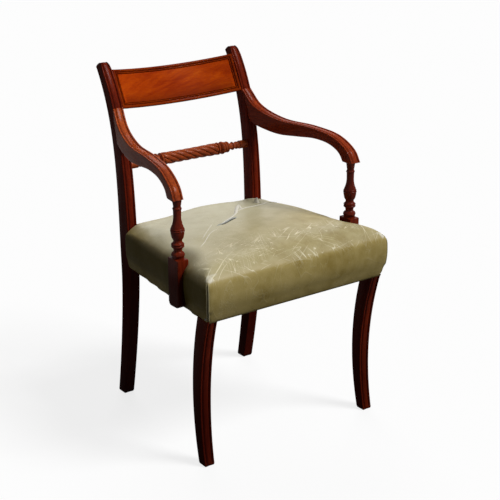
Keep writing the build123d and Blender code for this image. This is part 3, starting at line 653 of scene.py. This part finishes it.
def makeTwistRail():
    r = rope
    y = uprightFront(r["level"]) + uprightDepth(r["level"]) / 2
    count = r["strands"] * r["each"]

    def place(i, k):
        x = mixed(-r["half"], r["half"], k / (r["stations"] - 1))
        share = (i / r["each"]) % 1
        lobe = math.sqrt(max(0.0, math.sin(math.pi * share)))  # round strands with sharp valleys
        nearEnd = 1 - eased(0, r["closeOver"], r["half"] - abs(x))
        radius = r["radius"] + r["swell"] * (x / r["half"]) ** 2
        radius -= r["hollow"] * (1 - lobe) + r["closeBy"] * nearEnd
        turn = 2 * math.pi * (x / r["lead"] + i / count)
        return Vector((x, toe + y + radius * math.cos(turn), r["level"] + radius * math.sin(turn)))

    bm = sweptMesh(count, r["stations"], place)
    collar = (upright["inner"] - r["half"]) * 1000 - sum(step[0] for step in r["rings"])
    line = turnedLine(r["endRadius"] / 1000, r["rings"] + [(collar, r["collar"], 0)])
    for side in (-1, 1):
        end = Matrix.Translation((side * r["half"], toe + y, r["level"]))
        turnOnLathe(bm, line, end @ Matrix.Rotation(side * math.pi / 2, 4, "Y"), r["latheSteps"])
    finishPiece(bm, "twistRail", ropeGrain, ["twist_rail"], 50)


makeSupports()
makeTwistRail()
print("turned work made")


# crest rail with its border and panel
crest = {
    "low": 0.746, "high": 0.833, "half": 0.176, "bow": 0.026, "thick": 0.015, "border": 0.013, "proud": 0.003,
    "panel": 0.0018, "bed": 0.0002, "edge": 0.0016, "panelEdge": 0.0002, "stations": 72, "endStations": 12,
    "moulding": [(0.0, 0.0024), (0.0003, 0.0014), (0.001, 0.0006), (0.0022, 0.0001), (0.004, 0.0),
                 (0.0056, 0.0002), (0.0064, 0.0007), (0.0068, 0.0018), (0.0074, 0.0026), (0.0084, 0.0026),
                 (0.0089, 0.0018), (0.0093, 0.0008), (0.0101, 0.0004), (0.0109, 0.0008), (0.0113, 0.0018),
                 (0.0117, 0.0026), (0.013, 0.0027)],
}
crestFoot, crestHead = (Vector((0, toe + uprightFront(crest[end]), crest[end])) for end in ("low", "high"))
crestTall = (crestHead - crestFoot).length
crestUp = (crestHead - crestFoot).normalized()
crestBack = Vector((0, crestUp.z, -crestUp.y))
bowRadius = (crest["half"] ** 2 + crest["bow"] ** 2) / (2 * crest["bow"])


def crestPoint(along, up, deep):
    back = math.sqrt((bowRadius + deep) ** 2 - along**2) - bowRadius + crest["bow"]
    return crestFoot + Vector((along, 0, 0)) + crestUp * up + crestBack * back


def crestBoard(low, high, near, far, half, edge):  # rounded board bent along the bow
    corners = []
    for up, deep, turn in ((low, near, 180), (low, far, 270), (high, far, 0), (high, near, 90)):
        inUp = edge if up == low else -edge
        inDeep = edge if deep == near else -edge
        for step in (0, 30, 60, 90):
            angle = math.radians(turn + step)
            corners.append((up + inUp + edge * math.cos(angle), deep + inDeep + edge * math.sin(angle)))
    count = crest["stations"]
    return sweptMesh(len(corners), count,
                     lambda i, k: crestPoint(mixed(-half, half, k / (count - 1)), *corners[i]))


def crestMoulding(level, alongX):  # one side of the mitred border
    back = crest["proud"] - crest["bed"]
    ring = crest["moulding"] + [(crest["border"], back), (0.0, back)]
    count = crest["stations" if alongX else "endStations"]

    def place(i, k):
        inset, deep = ring[i]
        share = 2 * k / (count - 1) - 1
        reach = crest["half"] - inset
        if alongX:
            return crestPoint(share * reach, inset if level < 0 else crestTall - inset, deep)
        return crestPoint(level * reach, crestTall / 2 + share * (crestTall / 2 - inset), deep)

    return sweptMesh(len(ring), count, place)


def makeCrest():
    c = crest
    rail = crestBoard(0, crestTall, c["proud"], c["thick"], c["half"], c["edge"])
    finishPiece(rail, "crestRail", crestBorder, ["crest_rail"])
    back = c["proud"] - c["bed"]
    panel = crestBoard(c["border"], crestTall - c["border"], back - c["panel"], back,
                       c["half"] - c["border"], c["panelEdge"])
    finishPiece(panel, "crestPanel", veneer, ["crest_panel"])
    for name, level in (("top", 1), ("bottom", -1), ("left", -1), ("right", 1)):
        bead = crestMoulding(level, name in ("top", "bottom"))
        finishPiece(bead, "crestBead_" + name, crestBorder, ["crest_bead_" + name], 60)


makeCrest()
print("crest made")


# seat: stuffed form, hide, hair, webbing and hessian
hide = {
    "voxel": 0.0068, "shrink": 0.001, "pressure": 4.0, "cap": 0.006, "frames": 20, "thick": 0.002,
    "hem": 0.016, "corner": 0.003, "drop": 0.007, "stileGap": 0.0006, "foldLevel": 0.42, "postClear": 0.002,
    "even": 0.35, "heldRise": (0.372, 0.40), "heldTop": 0.485, "heldBeside": 0.012, "heldInside": 0.03,
    "blockReach": 0.024, "blockPull": 0.005, "blockBulge": 0.004, "bulgeReach": 0.016,
    "base": (0.385, 0.298, 0.106), "deep": (0.29, 0.213, 0.06), "pale": (0.445, 0.35, 0.14),
    "fadedAndSheen": (0.57, 0.545, 0.395), "scuff": (0.78, 0.72, 0.5), "paintedShade": (0.078, 0.058, 0.009),
    "rubbed": (0.8, 0.77, 0.66), "grimeAndShade": (0.05, 0.04, 0.016), "cornerSpot": (0.25, -0.019, 0.472),
    "scratches": [(0.5, 2, 60), (-0.5, 5, 70), (1.2, 8, 80), (-1.1, 11, 66), (0.1, 14, 90)],
}
uneven = {  # how far the stuffing has sunk or stands up, and between which widths and depths
    "leftDip": 0.011, "left": (-0.02, 0.17), "rightDip": 0.008, "right": (0.06, 0.18), "rear": (0.22, 0.40),
    "rearBow": 0.005, "bowHalf": 0.13, "bowMiddle": -0.01, "rim": 0.003, "rimEnd": (0.2, 0.3),
    "rimWidth": 0.09, "flank": 0.006, "flankFrom": (0.15, 0.28), "flankEnd": (0.36, 0.41),
    "flankSide": (0.1, 0.17),
}


def crownShare(level):  # 0 on the walls, 1 on top of the crown
    return max(0.0, (level - wallTop) / (seat["crown"] - wallTop))


def seatCorner(outset):  # the right front and right rear corner of the plan at an outset
    fuller = (outset + math.hypot(outset, seat["fullFade"])) / 2  # fades out over the top edge
    front = seat["front"] - outset - fuller * (seat["fullness"] - 1)
    rear = seat["rear"] + outset
    return [(frameHalf(front) + outset, front), (frameHalf(rear) + outset, rear)]


def seatRing(outset, level, eachSide=24, eachCorner=8):  # rounded plan of the seat at an outset, tipped back
    (fx, fy), (rx, ry) = seatCorner(outset)
    corners = [Vector((-fx, fy)), Vector((fx, fy)), Vector((rx, ry)), Vector((-rx, ry))]
    radius = hide["corner"] + max(0.0, -outset) / 3
    ring = []
    for i, corner in enumerate(corners):
        following = corners[(i + 1) % 4]
        back, ahead = (corners[i - 1] - corner).normalized(), (following - corner).normalized()
        half = back.angle(ahead) / 2
        reach = radius / math.tan(half)
        a, b = corner + back * reach, corner + ahead * reach
        centre = corner + (back + ahead).normalized() * radius / math.sin(half)
        ring += [centre + (a - centre).slerp(b - centre, s) * radius for s in spread(0, 1, eachCorner)]
        beyond = (corners[(i + 2) % 4] - following).normalized()
        end = following - ahead * (radius / math.tan((-ahead).angle(beyond) / 2))
        ring += [b.lerp(end, s) for s in spread(0, 1, eachSide)[1:-1]]
    lean = math.tan(math.radians(seat["tilt"]))
    middle = (seat["front"] + seat["rear"]) / 2
    u = uneven
    points = []
    for p in ring:
        dip = u["leftDip"] * eased(*u["left"], -p.x) + u["rightDip"] * eased(*u["right"], p.x)
        bow = u["rearBow"] * (1 - eased(0.0, u["bowHalf"], abs(p.x - u["bowMiddle"])))
        dip = eased(*u["rear"], p.y) * (dip - bow)
        flank = (eased(*u["flankFrom"], p.y) * (1 - eased(*u["flankEnd"], p.y))
                 * eased(*u["flankSide"], abs(p.x)))
        rim = u["rim"] * (1 - eased(*u["rimEnd"], p.y)) + u["flank"] * flank
        rim *= 1 - eased(0.0, u["rimWidth"], -outset)
        fall = (p.y - middle) * lean + dip - rim
        points.append(Vector((p.x, toe + p.y, level - fall * crownShare(level))))
    return points


def seatForm(shrink, low):  # closed stuffed form from a level up
    rings = []
    if low <= seat["bottom"]:
        rings.append(seatRing(seatProfile[0][1] - shrink, seat["bottom"] - hide["drop"]))
    for z, o in smoothPath(seatProfile, 5):
        if z >= low - 1e-6:
            share = crownShare(z)
            rings.append(seatRing(o - shrink * (1 - share), z - shrink * share))
    return sweptMesh(len(rings[0]), len(rings), lambda i, k: rings[k][i])


def evaluated(thing):
    return bpy.data.meshes.new_from_object(thing.evaluated_get(bpy.context.evaluated_depsgraph_get()))


def remeshed(thing, voxel):
    step = thing.modifiers.new("voxels", "REMESH")
    step.mode = "VOXEL"
    step.voxel_size = voxel
    mesh = evaluated(thing)
    thing.modifiers.remove(step)
    thing.data = mesh


def swell(thing, held, pressure, cap, frames):  # cloth blown up a little, no point moving past the cap
    start = [v.co.copy() for v in thing.data.vertices]
    group = thing.vertex_groups.new(name="held")
    for i, weight in enumerate(held):
        group.add([i], weight, "REPLACE")
    cloth = thing.modifiers.new("swell", "CLOTH")
    s = cloth.settings
    s.quality = 4
    s.mass = 0.3
    s.tension_stiffness = s.compression_stiffness = 20
    s.shear_stiffness = 12
    s.bending_stiffness = 4
    s.use_pressure = True
    s.uniform_pressure_force = pressure
    s.effector_weights.gravity = 0
    s.vertex_group_mass = "held"
    cloth.point_cache.frame_end = frames
    for i in range(1, frames + 1):
        scene.frame_set(i)
    done = evaluated(thing)
    thing.modifiers.remove(cloth)
    thing.vertex_groups.clear()
    outward = [v.normal.copy() for v in thing.data.vertices]
    rise = [min(cap, max(0.0, (new.co - old).dot(out)))
            for new, old, out in zip(done.vertices, start, outward)]
    ends = [tuple(e.vertices) for e in thing.data.edges]
    for i in range(12):  # the stuffing keeps it from going in, and evens it out
        total, count = [0.0] * len(rise), [0] * len(rise)
        for a, b in ends:
            total[a] += rise[b]
            total[b] += rise[a]
            count[a] += 1
            count[b] += 1
        rise = [(r + t / max(1, c)) / 2 for r, t, c in zip(rise, total, count)]
    for vert, old, out, r in zip(thing.data.vertices, start, outward, rise):
        vert.co = old + out * r
    bpy.data.meshes.remove(done)
    scene.frame_set(1)
    most = max((v.co - old).length for v, old in zip(thing.data.vertices, start))
    print(thing.name, "swollen by up to", round(most * 1000, 1), "mm")


def wornHide():
    f = Finish("wornHide", Coat_IOR=1.48, Coat_Roughness=0.34, Specular_IOR_Level=0)
    x, y, z = f.axes()
    upper = z.ease(0.44, 0.47)
    clouds = f.speckle(f.spot(), 8, 5, 0.58)
    blotch = f.speckle(f.spot(shift=(4, 2, 1)), 32, 5, 0.6)
    patchy = blotch - 0.5
    pebble = f.cells(f.spot(), 620)
    craze = 1 - f.cells(f.spot(turn=(0.3, 0.2, 0.5)), 170, "DISTANCE_TO_EDGE").ease(0.0, 0.045)
    craze = craze * f.speckle(f.spot(), 24, 4, 0.6).ease(0.5, 0.66)
    dy, dz = y - (toe - 0.016), z - 0.465
    frontEdge = 1 - (dy * dy + dz * dz - x * 0.012).ease(0.02**2, 0.15**2)
    strokes = None
    for turn, shift, scale in hide["scratches"]:  # long and fine, in patches
        stroke = f.speckle(f.spot((0.07, 1, 0.15), (0, 0, turn), (shift, 1, 3)), scale, 0)
        patch = f.speckle(f.spot(shift=(shift, 4, shift)), 17).ease(0.49, 0.58)
        stroke = (1 - (stroke - 0.5).size().ease(0.002, 0.013)) * patch
        strokes = strokes.most(stroke) if strokes else stroke
    tones = [(0.36, hide["deep"]), (0.5, hide["base"]), (0.66, hide["pale"])]
    colour = f.ramp(clouds * 0.6 + blotch * 0.4, tones)
    # paler on top, more so towards the back and left: partly faded hide, partly a painted sheen
    fadedAndSheen = z.ease(0.452, 0.478) * (y - x * 0.5).ease(toe - 0.02, toe + 0.3) * (blotch * 0.5 + 0.65)
    colour = f.blend(fadedAndSheen.least(1.0) * 0.85, colour, hide["fadedAndSheen"])
    colour = f.blend(craze * 0.3, colour, hide["scuff"])
    # painted shade: the side walls darker below the top edge
    side = (x.size() + (y - toe) * 0.121 - 0.2513).ease(0.0, 0.009) * (1 - upper)
    colour = f.blend(side * 0.8, colour, hide["paintedShade"])
    colour = f.blend(frontEdge * z.ease(0.455, 0.475) * blotch * 0.5, colour, hide["fadedAndSheen"])
    scratched = (frontEdge * 0.9 + 0.08) * (z.ease(0.446, 0.472) * 0.92 + 0.08)
    colour = f.blend(strokes * scratched, colour, hide["scuff"])
    cx, cy, cz = (here - spot for here, spot in zip((x.size(), y - toe, z), hide["cornerSpot"]))
    rubbed = 1 - (cx * cx + cy * cy + cz * cz * 0.2 + patchy * 0.0003).ease(0.001**2, 0.01**2)
    streak = 1 - (cx * cx * 0.03 + cy * cy * 0.5 + cz * cz * 4 + patchy * 0.0001).ease(0.0005**2, 0.007**2)
    rubbed = (rubbed * 0.8).most(streak * 0.6) * (blotch.ease(0.3, 0.5) * 0.5 + 0.5)
    colour = f.blend(rubbed, colour, hide["rubbed"])
    bx, by = x.size() - frameHalf(support["y"]), y - (toe + support["y"] + 0.02)
    blockShade = 1 - (bx * bx + by * by * 0.6).ease(0.012**2, 0.06**2)  # painted shade round the arm blocks
    colour = f.blend(blockShade * 0.55, colour, hide["paintedShade"])
    # darker towards the bottom: grime there, and painted shade
    low = 1 - (z + patchy * 0.02).ease(0.366, 0.384)
    colour = f.blend(low * 0.22, colour, hide["grimeAndShade"])
    rough = clouds * 0.2 + blotch * 0.12 + 0.3
    coat = (0.26 - strokes * 0.1 + (clouds - 0.5) * 0.2) * (upper * 0.8 + 0.2)
    height = pebble * 0.5 + blotch * 1.2 - craze * 0.6 + strokes * 0.5
    return f.use(Base_Color=colour, Roughness=rough, Coat_Weight=coat, Normal=f.bump(height, 0.0007, 0.5))


def turnIn(bm, side, notch):  # the hide folded in before a stile
    edges = [e for e in bm.edges if e.is_boundary and all(
        abs(v.co.y - toe - notch) < 1e-4 and side * v.co.x > upright["inner"] - 0.002 for v in e.verts)]
    nextTo = {}
    for edge in edges:
        edge.smooth = False
        for vert in edge.verts:
            nextTo.setdefault(vert, []).append(edge.other_vert(vert))
    chain = [next(v for v, others in nextTo.items() if len(others) == 1)]
    while True:
        ahead = [v for v in nextTo[chain[-1]] if v not in chain[-2:]]
        if not ahead or ahead[0] is chain[0]:
            break
        chain.append(ahead[0])
    face = bm.faces.new(chain)
    face.normal_update()
    if face.normal.y < 0:
        face.normal_flip()
    bmesh.ops.triangulate(bm, faces=[face])
    print("hide turned in over", len(chain), "points")


def makeHide():
    bm = seatForm(hide["shrink"], seat["bottom"])
    bmesh.ops.recalc_face_normals(bm, faces=bm.faces)
    cover = plainObject(bm, "leatherCover")
    remeshed(cover, hide["voxel"])
    blockY, blockHalf, edge = toe + support["y"], support["depth"] / 2, frameHalf(support["y"])
    held = []
    for v in cover.data.vertices:
        near = abs(v.co.y - blockY) < blockHalf + hide["heldBeside"] and v.co.z < hide["heldTop"]
        near = near and abs(v.co.x) > edge - hide["heldInside"]
        held.append(1.0 if near else 1 - eased(*hide["heldRise"], v.co.z))
    swell(cover, held, hide["pressure"], hide["cap"], hide["frames"])
    bm = bmesh.new()
    bm.from_mesh(cover.data)
    bmesh.ops.smooth_vert(bm, verts=bm.verts, factor=hide["even"], use_axis_x=True, use_axis_y=True,
                          use_axis_z=True)
    blockX = edge + support["out"] - support["width"] / 2
    for vert in bm.verts:  # down along the arm blocks, and bulging before and behind them
        beside = max(0.0, abs(vert.co.y - blockY) - blockHalf)
        away = math.hypot(max(0.0, blockX - abs(vert.co.x)), beside)
        pull = hide["blockPull"] * math.exp(-((away / hide["blockReach"]) ** 2))
        vert.co.z -= pull * eased(0.44, 0.465, vert.co.z)
        wall = eased(0.366, 0.40, vert.co.z) * (1 - eased(0.455, 0.475, vert.co.z))
        bulge = eased(0.0, 0.004, beside) * math.exp(-((beside / hide["bulgeReach"]) ** 2))
        bulge *= hide["blockBulge"] * wall * eased(0.21, 0.235, abs(vert.co.x))
        vert.co.x += math.copysign(bulge, vert.co.x)
    notch, inner = uprightFront(hide["foldLevel"]) - hide["stileGap"], upright["inner"] - hide["stileGap"]
    sliced(bm, (0, toe + notch, 0), (0, 1, 0), 1e-5)
    sliced(bm, (inner, 0, 0), (1, 0, 0), 1e-5)
    sliced(bm, (-inner, 0, 0), (1, 0, 0), 1e-5)
    gone = []
    for face in bm.faces:
        c = face.calc_center_median()
        y = c.y - toe
        if y > notch and abs(c.x) > inner:
            gone.append(face)
        elif c.z < seat["bottom"] + 0.001 and face.normal.z < -0.5:
            inside = min(frameHalf(y) - abs(c.x), y - seat["front"], seat["rear"] - y)
            post = abs(c.x) > leg["inner"] - hide["postClear"] and y < leg["postBack"] + hide["postClear"]
            if inside > hide["hem"] or (post and inside > -0.001):
                gone.append(face)
    bmesh.ops.delete(bm, geom=gone, context="FACES")
    bmesh.ops.delete(bm, geom=[v for v in bm.verts if not v.link_faces], context="VERTS")
    for side in (-1, 1):
        turnIn(bm, side, notch)
    bm.to_mesh(cover.data)
    bm.free()
    for face in cover.data.polygons:
        face.use_smooth = True
    cover.data.materials.clear()
    cover.data.materials.append(wornHide())
    finer = cover.modifiers.new("finer", "SUBSURF")
    finer.levels = finer.render_levels = 1
    wall = cover.modifiers.new("wall", "SOLIDIFY")
    wall.thickness = hide["thick"]
    wall.offset = -1
    declare(cover, ["leather_cover"])
    return cover


stuffing = {"shrink": 0.010, "low": 0.4385, "stileGap": 0.004}


def makeHair():
    form = seatForm(stuffing["shrink"], stuffing["low"])
    hair = finishPiece(form, "seatStuffing", curledHair(), ["seat_stuffing"])
    front, inner = upright["front"] - stuffing["stileGap"], upright["inner"] - stuffing["stileGap"]
    for vert in hair.data.vertices:  # clear of the stiles
        if vert.co.y - toe > front and abs(vert.co.x) > inner:
            vert.co.x = math.copysign(inner, vert.co.x)


webbing = {
    "width": 0.050, "thick": 0.0016, "gap": 0.100, "inset": 0.005, "turn": 0.020, "rail": 0.432,
    "pitch": 0.0016, "warp": (0.34, 0.25, 0.14), "weft": (0.27, 0.19, 0.1), "stations": 90,
    "bearing": 0.022, "acrossFall": 0.06, "alongFall": 0.05, "flat": 0.45, "sloping": 0.75, "foldThin": 0.96,
}


def strapBar(bm, length, heights, thick, matrix):  # flat strap along local X, heights in its middle line
    half, edge, count = webbing["width"] / 2, thick / 2, len(heights)
    ring = [(-half, -edge * 0.4), (-half + edge, -edge), (half - edge, -edge), (half, -edge * 0.4)]
    ring += [(-y, -z) for y, z in ring]
    ringSweep(bm, len(ring), count, lambda i, k: matrix @ Vector(
        (mixed(-length / 2, length / 2, k / (count - 1)), ring[i][0], heights[k] + ring[i][1])))


def makeWebbing():
    w = webbing
    jute = wovenJute("juteWebbing", w["pitch"], w["warp"], w["weft"], 0.5)
    middle = toe + (seat["front"] + seat["rear"]) / 2
    lift = w["thick"] / 2
    crossing = w["rail"] + w["thick"]  # level of the weave's middle
    lanes = (-w["gap"], 0, w["gap"])
    turned = Matrix.Rotation(math.pi / 2, 4, "Z")

    def woven(length, fall, endLevel, row, sign):  # over and under the other straps, then down to the ends
        heights = []
        for s in spread(-length / 2, length / 2, w["stations"]):
            wave = 0.0
            for column, lane in enumerate(lanes):
                near = 1 - eased(w["width"] * w["flat"], w["gap"] * w["sloping"], abs(s - lane))
                wave += (1 if (row + column) % 2 else -1) * near
            end = eased(length / 2 - fall, length / 2 - w["bearing"], abs(s))
            heights.append(mixed(crossing + wave * lift * sign, endLevel, end))
        return heights

    for row, lane in enumerate(lanes):
        y = middle + lane
        length = 2 * (frameHalf(y - toe + w["width"] / 2) - w["inset"])
        bm = bmesh.new()
        heights = woven(length, w["acrossFall"], w["rail"] + lift, row, -1)
        strapBar(bm, length, heights, w["thick"], Matrix.Translation((0, y, 0)))
        strap = finishPiece(bm, "webbingAcross_" + str(row), jute, ["webbing_across"])
        length = seat["rear"] - seat["front"] - 2 * w["inset"]
        bm = bmesh.new()
        heights = woven(length, w["alongFall"], crossing + lift, row, 1)
        strapBar(bm, length, heights, w["thick"], Matrix.Translation((lane, middle, 0)) @ turned)
        for end in (-1, 1):  # turned ends under the tacks
            fold = Matrix.Translation((lane, middle + end * (length - w["turn"]) / 2, 0)) @ turned
            strapBar(bm, w["turn"], [w["rail"] + lift] * 4, w["thick"] * w["foldThin"], fold)
        strap = finishPiece(bm, "webbingAlong_" + str(row), jute, ["webbing_along"])


sacking = {
    "low": 0.4364, "thick": 0.0008, "inset": 0.005, "pitch": 0.0024, "rows": 48, "rearRows": 8, "columns": 60,
    "stileGap": 0.001, "step": 0.0005, "warp": (0.4, 0.3, 0.17), "weft": (0.33, 0.24, 0.13),
}


def makeHessian():
    h = sacking
    notch, inner = upright["front"] - h["stileGap"], upright["inner"] - h["stileGap"]
    rows = spread(seat["front"] + h["inset"], notch, h["rows"])
    rows += spread(notch + h["step"], seat["rear"] - h["inset"], h["rearRows"])

    def place(i, k):
        half = frameHalf(rows[k]) - h["inset"] if rows[k] <= notch else inner
        return Vector((mixed(-half, half, i / (h["columns"] - 1)), toe + rows[k], h["low"] + h["thick"] / 2))

    bm = sweptMesh(h["columns"], len(rows), place, closed=False)
    area = sum(face.calc_area() for face in bm.faces)
    bmesh.ops.solidify(bm, geom=list(bm.faces), thickness=h["thick"])
    weave = wovenJute("hessianWeave", h["pitch"], h["warp"], h["weft"], 0.75)
    sheet = finishPiece(bm, "hessianSheet", weave, ["hessian"])


seam = {
    "radius": 0.0015, "gap": 0.0021, "gapThin": 0.55, "low": 0.3655, "top": 0.466, "stations": 44, "sides": 8,
    "reach": 0.03, "tack": 0.371, "tackShift": 0.006, "tackRadius": 0.0026,
    "tackShape": [(0.4, 2.6, 0), (1.0, 0.6, 0.5)],
}
tear = {
    "lips": [([(-0.061, 0.207), (-0.022, 0.231), (0.004, 0.247), (0.026, 0.264)], 0.0036, 0.0014),
             ([(0.017, 0.255), (0.04, 0.282), (0.055, 0.3), (0.081, 0.327)], 0.0056, 0.0018),
             ([(0.074, 0.318), (0.061, 0.293), (0.055, 0.28)], 0.0038, 0.0014),
             ([(0.038, 0.276), (0.062, 0.285), (0.082, 0.287), (0.104, 0.29), (0.135, 0.3), (0.165, 0.318)],
              0.0028, 0.001),
             ([(-0.18, 0.117), (-0.156, 0.135), (-0.113, 0.17), (-0.084, 0.183)], 0.0013, 0.0005),
             ([(-0.149, 0.153), (-0.117, 0.182), (-0.07, 0.226)], 0.0009, 0.0004)],
    "lining": [([(-0.075, 0.203), (-0.046, 0.214), (-0.014, 0.229), (0.01, 0.236)], 0.0046, 0.0004)],
    "slits": [([(-0.062, 0.203), (-0.043, 0.209), (-0.013, 0.224), (0.0, 0.227)], 0.0026, 0.0013),
              ([(0.16, 0.306), (0.178, 0.312), (0.19, 0.31)], 0.003, 0.0006)],
    "flap": [([(0.132, 0.319), (0.138, 0.329), (0.144, 0.339)], 0.009, 0.012)],
}


def plainHide(name, colour, grain):
    f = Finish(name, Specular_IOR_Level=0.1)
    fibre = f.speckle(f.spot(), grain, 4, 0.6)
    mixedTone = f.ramp(fibre, [(0.3, tuple(c * 0.6 for c in colour)), (0.7, colour)])
    return f.use(Base_Color=mixedTone, Roughness=fibre * 0.2 + 0.5, Normal=f.bump(fibre, 0.0004, 0.6))


def makeSeams(surface):  # two lips down each front corner, a near-black tube of painted shade in the gap between them, and the tack that ends them
    lipHide = plainHide("seamHide", (0.5, 0.44, 0.25), 900)
    # painted shade: a near-black tube in the seam's gap
    gapShade = plainHide("seamGap", (0.03, 0.024, 0.01), 900)
    levels = spread(seam["low"], seam["top"], seam["stations"])
    kinds = (((-1, 1), 1.0, "cornerSeam_", lipHide), ((0,), seam["gapThin"], "seamGap_", gapShade))
    for side, name in sides:
        away, across = Vector((side, -1, 0)).normalized(), Vector((1, side, 0)).normalized()

        def onHide(z, shift):
            fx, fy = seatCorner(seatOutset(z))[0]
            start = Vector((side * fx, toe + fy, z)) + across * shift + away * seam["reach"]
            return surface.ray_cast(start, -away)

        for lips, thin, part, finish in kinds:
            bm = bmesh.new()
            for lip in lips:
                path = [onHide(z, lip * seam["gap"])[0] for z in levels]
                path = [spot for spot in path if spot]  # the lowest ones may pass under the hide

                def place(i, k):
                    share = k / (len(path) - 1)
                    full = eased(0, 0.04, share) * (1 - eased(0.8, 1, share))
                    radius = thin * seam["radius"] * (0.3 + 0.7 * full)
                    turn = 2 * math.pi * i / seam["sides"]
                    return path[k] + (away * math.cos(turn) + across * math.sin(turn)) * radius

                ringSweep(bm, seam["sides"], len(path), place)
            finishPiece(bm, part + name, finish, (), 60)
        spot, normal = onHide(seam["tack"], side * seam["tackShift"])[:2]
        turn = normal.to_track_quat("Z", "Y").to_matrix().to_4x4()
        bm = bmesh.new()
        line = turnedLine(seam["tackRadius"], seam["tackShape"], 5)
        turnOnLathe(bm, line, Matrix.Translation(spot) @ turn, 20)
        finishPiece(bm, "cornerTack_" + name, darkIron("cornerTackIron_" + name, 0.4), (), 60)


ridge = {
    "each": 14, "above": 0.6, "taper": 6, "thinnest": 0.1, "ragged": 0.45, "fine": 160, "layer": 3,
    "section": [(-1, -0.3), (-0.5, 0.4), (-0.08, 1), (0.1, 0.95), (0.55, 0.45), (1, -0.3)],
}


def ridgeOn(bm, surface, points, width, high):  # a low ragged ridge lying on the hide
    line = smoothPath(points, ridge["each"])
    spots = []
    for k, (x, y) in enumerate(line):
        spot, normal = surface.ray_cast(Vector((x, toe + y, ridge["above"])), Vector((0, 0, -1)))[:2]
        along = Vector(line[min(k + 1, len(line) - 1)]) - Vector(line[max(k - 1, 0)])
        share = k / (len(line) - 1)
        size = min(1.0, ridge["taper"] * min(share, 1 - share) + ridge["thinnest"])
        ragged = noise.noise(Vector((x * ridge["fine"], y * ridge["fine"], ridge["layer"])))
        size *= 1 + ridge["ragged"] * ragged
        spots.append((spot, normal.cross(along.to_3d().normalized()) * width * size, normal * high * size))

    def place(i, k):
        spot, across, up = spots[k]
        return spot + across * ridge["section"][i][0] + up * ridge["section"][i][1]

    ringSweep(bm, len(ridge["section"]), len(line), place)


def makeTears(surface):
    flesh = plainHide("tornFlesh", (0.86, 0.82, 0.7), 700)
    # painted shade: a near-black ribbon in each slit's opening
    dark = plainHide("tornGapShade", (0.03, 0.028, 0.024), 900)
    lining = plainHide("tornLining", (0.4, 0.42, 0.38), 800)
    for kind, finish in (("lips", flesh), ("lining", lining), ("slits", dark), ("flap", flesh)):
        bm = bmesh.new()
        for points, width, high in tear[kind]:
            ridgeOn(bm, surface, points, width, high)
        finishPiece(bm, "torn_" + kind, finish, (), 60)


cover = makeHide()
hideSurface = BVHTree.FromObject(cover, bpy.context.evaluated_depsgraph_get())
makeSeams(hideSurface)
makeTears(hideSurface)
makeHair()
makeWebbing()
makeHessian()
print("seat made")


# CAD nodes that stay: rails, braces, screws and tacks
beech = bareBeech()
iron = darkIron("screwIron", 0.8)
blued = darkIron("tackIron", 0.35)
for name, thing in nodes.items():
    finish = beech if "seat_rail" in name or "brace" in name else None
    finish = iron if "screws" in name else blued if "tacks" in name else finish
    if finish and not thing.hide_render:
        thing.data.materials.clear()
        thing.data.materials.append(finish)
print("rails, braces, screws and tacks dressed")


# studio
studio = {
    "key": (0.42, -0.50, 0.76), "keyStrength": 2.8, "keyAngle": 22, "rear": (0.45, 0.75, 0.48),
    "rearStrength": 1.1, "rearAngle": 40, "ambient": 0.09, "floorBounce": (0.08, 0.08, 0.08),
    "floorSeen": (0.97, 0.97, 0.97), "floorGlow": 0.8, "floorSize": 30,
}
view = {
    "place": (-1.63408, -2.03421, 1.39942), "turn": 36.54, "down": 19.52, "lens": 87.66, "sensor": 36.0,
    "farthest": 40,
}


def makeCamera():
    camera = bpy.data.objects.new("camera", bpy.data.cameras.new("camera"))
    camera.data.lens, camera.data.sensor_width = view["lens"], view["sensor"]
    camera.data.clip_end = view["farthest"]
    x, y, z = view["place"]
    turn = Euler((math.radians(90 - view["down"]), 0, -math.radians(view["turn"])))
    camera.matrix_world = Matrix.LocRotScale(Vector((x, toe + y, z)), turn, None)
    scene.collection.objects.link(camera)
    scene.camera = camera


def makeSun(name, towards, strength, spreadAngle):  # light from a direction, soft by its angle
    data = bpy.data.lights.new(name, "SUN")
    data.energy, data.angle = strength, math.radians(spreadAngle)
    lamp = bpy.data.objects.new(name, data)
    lamp.rotation_euler = (-Vector(towards)).to_track_quat("-Z", "Y").to_euler()
    lamp.location = Vector(towards) * 3
    scene.collection.objects.link(lamp)


def seenDirectly(tree):  # camera, mirror and glass rays
    path = tree.nodes.new("ShaderNodeLightPath")
    seen = Value(tree, path.outputs["Is Camera Ray"]).most(Value(tree, path.outputs["Is Glossy Ray"]))
    return seen.most(Value(tree, path.outputs["Is Transmission Ray"]))


def makeStage():
    bm = bmesh.new()
    bmesh.ops.create_grid(bm, x_segments=1, y_segments=1, size=studio["floorSize"])
    floor = plainObject(bm, "floor")
    f = Finish("paleFloor", Roughness=0.9, Specular_IOR_Level=0)
    seen = seenDirectly(f.tree)
    f.use(Base_Color=f.blend(seen, studio["floorBounce"], studio["floorSeen"]))
    glow = f.node("ShaderNodeEmission", {}, {"Color": (1, 1, 1, 1), "Strength": 1.0})
    both = f.tree.nodes.new("ShaderNodeMixShader")
    f.tree.links.new((seen * studio["floorGlow"]).socket, both.inputs[0])
    f.tree.links.new(f.shader.outputs[0], both.inputs[1])
    f.tree.links.new(glow.socket, both.inputs[2])
    f.tree.links.new(both.outputs[0], f.tree.nodes["Material Output"].inputs["Surface"])
    floor.data.materials.append(f.material)
    world = bpy.data.worlds.new("studio")
    scene.world = world
    world.use_nodes = True
    back = world.node_tree.nodes["Background"]
    back.inputs["Color"].default_value = (1, 1, 1, 1)
    share = seenDirectly(world.node_tree) * (1 - studio["ambient"]) + studio["ambient"]
    world.node_tree.links.new(share.socket, back.inputs["Strength"])


makeCamera()
makeSun("keyLamp", studio["key"], studio["keyStrength"], studio["keyAngle"])
makeSun("rearLamp", studio["rear"], studio["rearStrength"], studio["rearAngle"])
makeStage()
scene.view_settings.view_transform = "Standard"
print("studio ready")
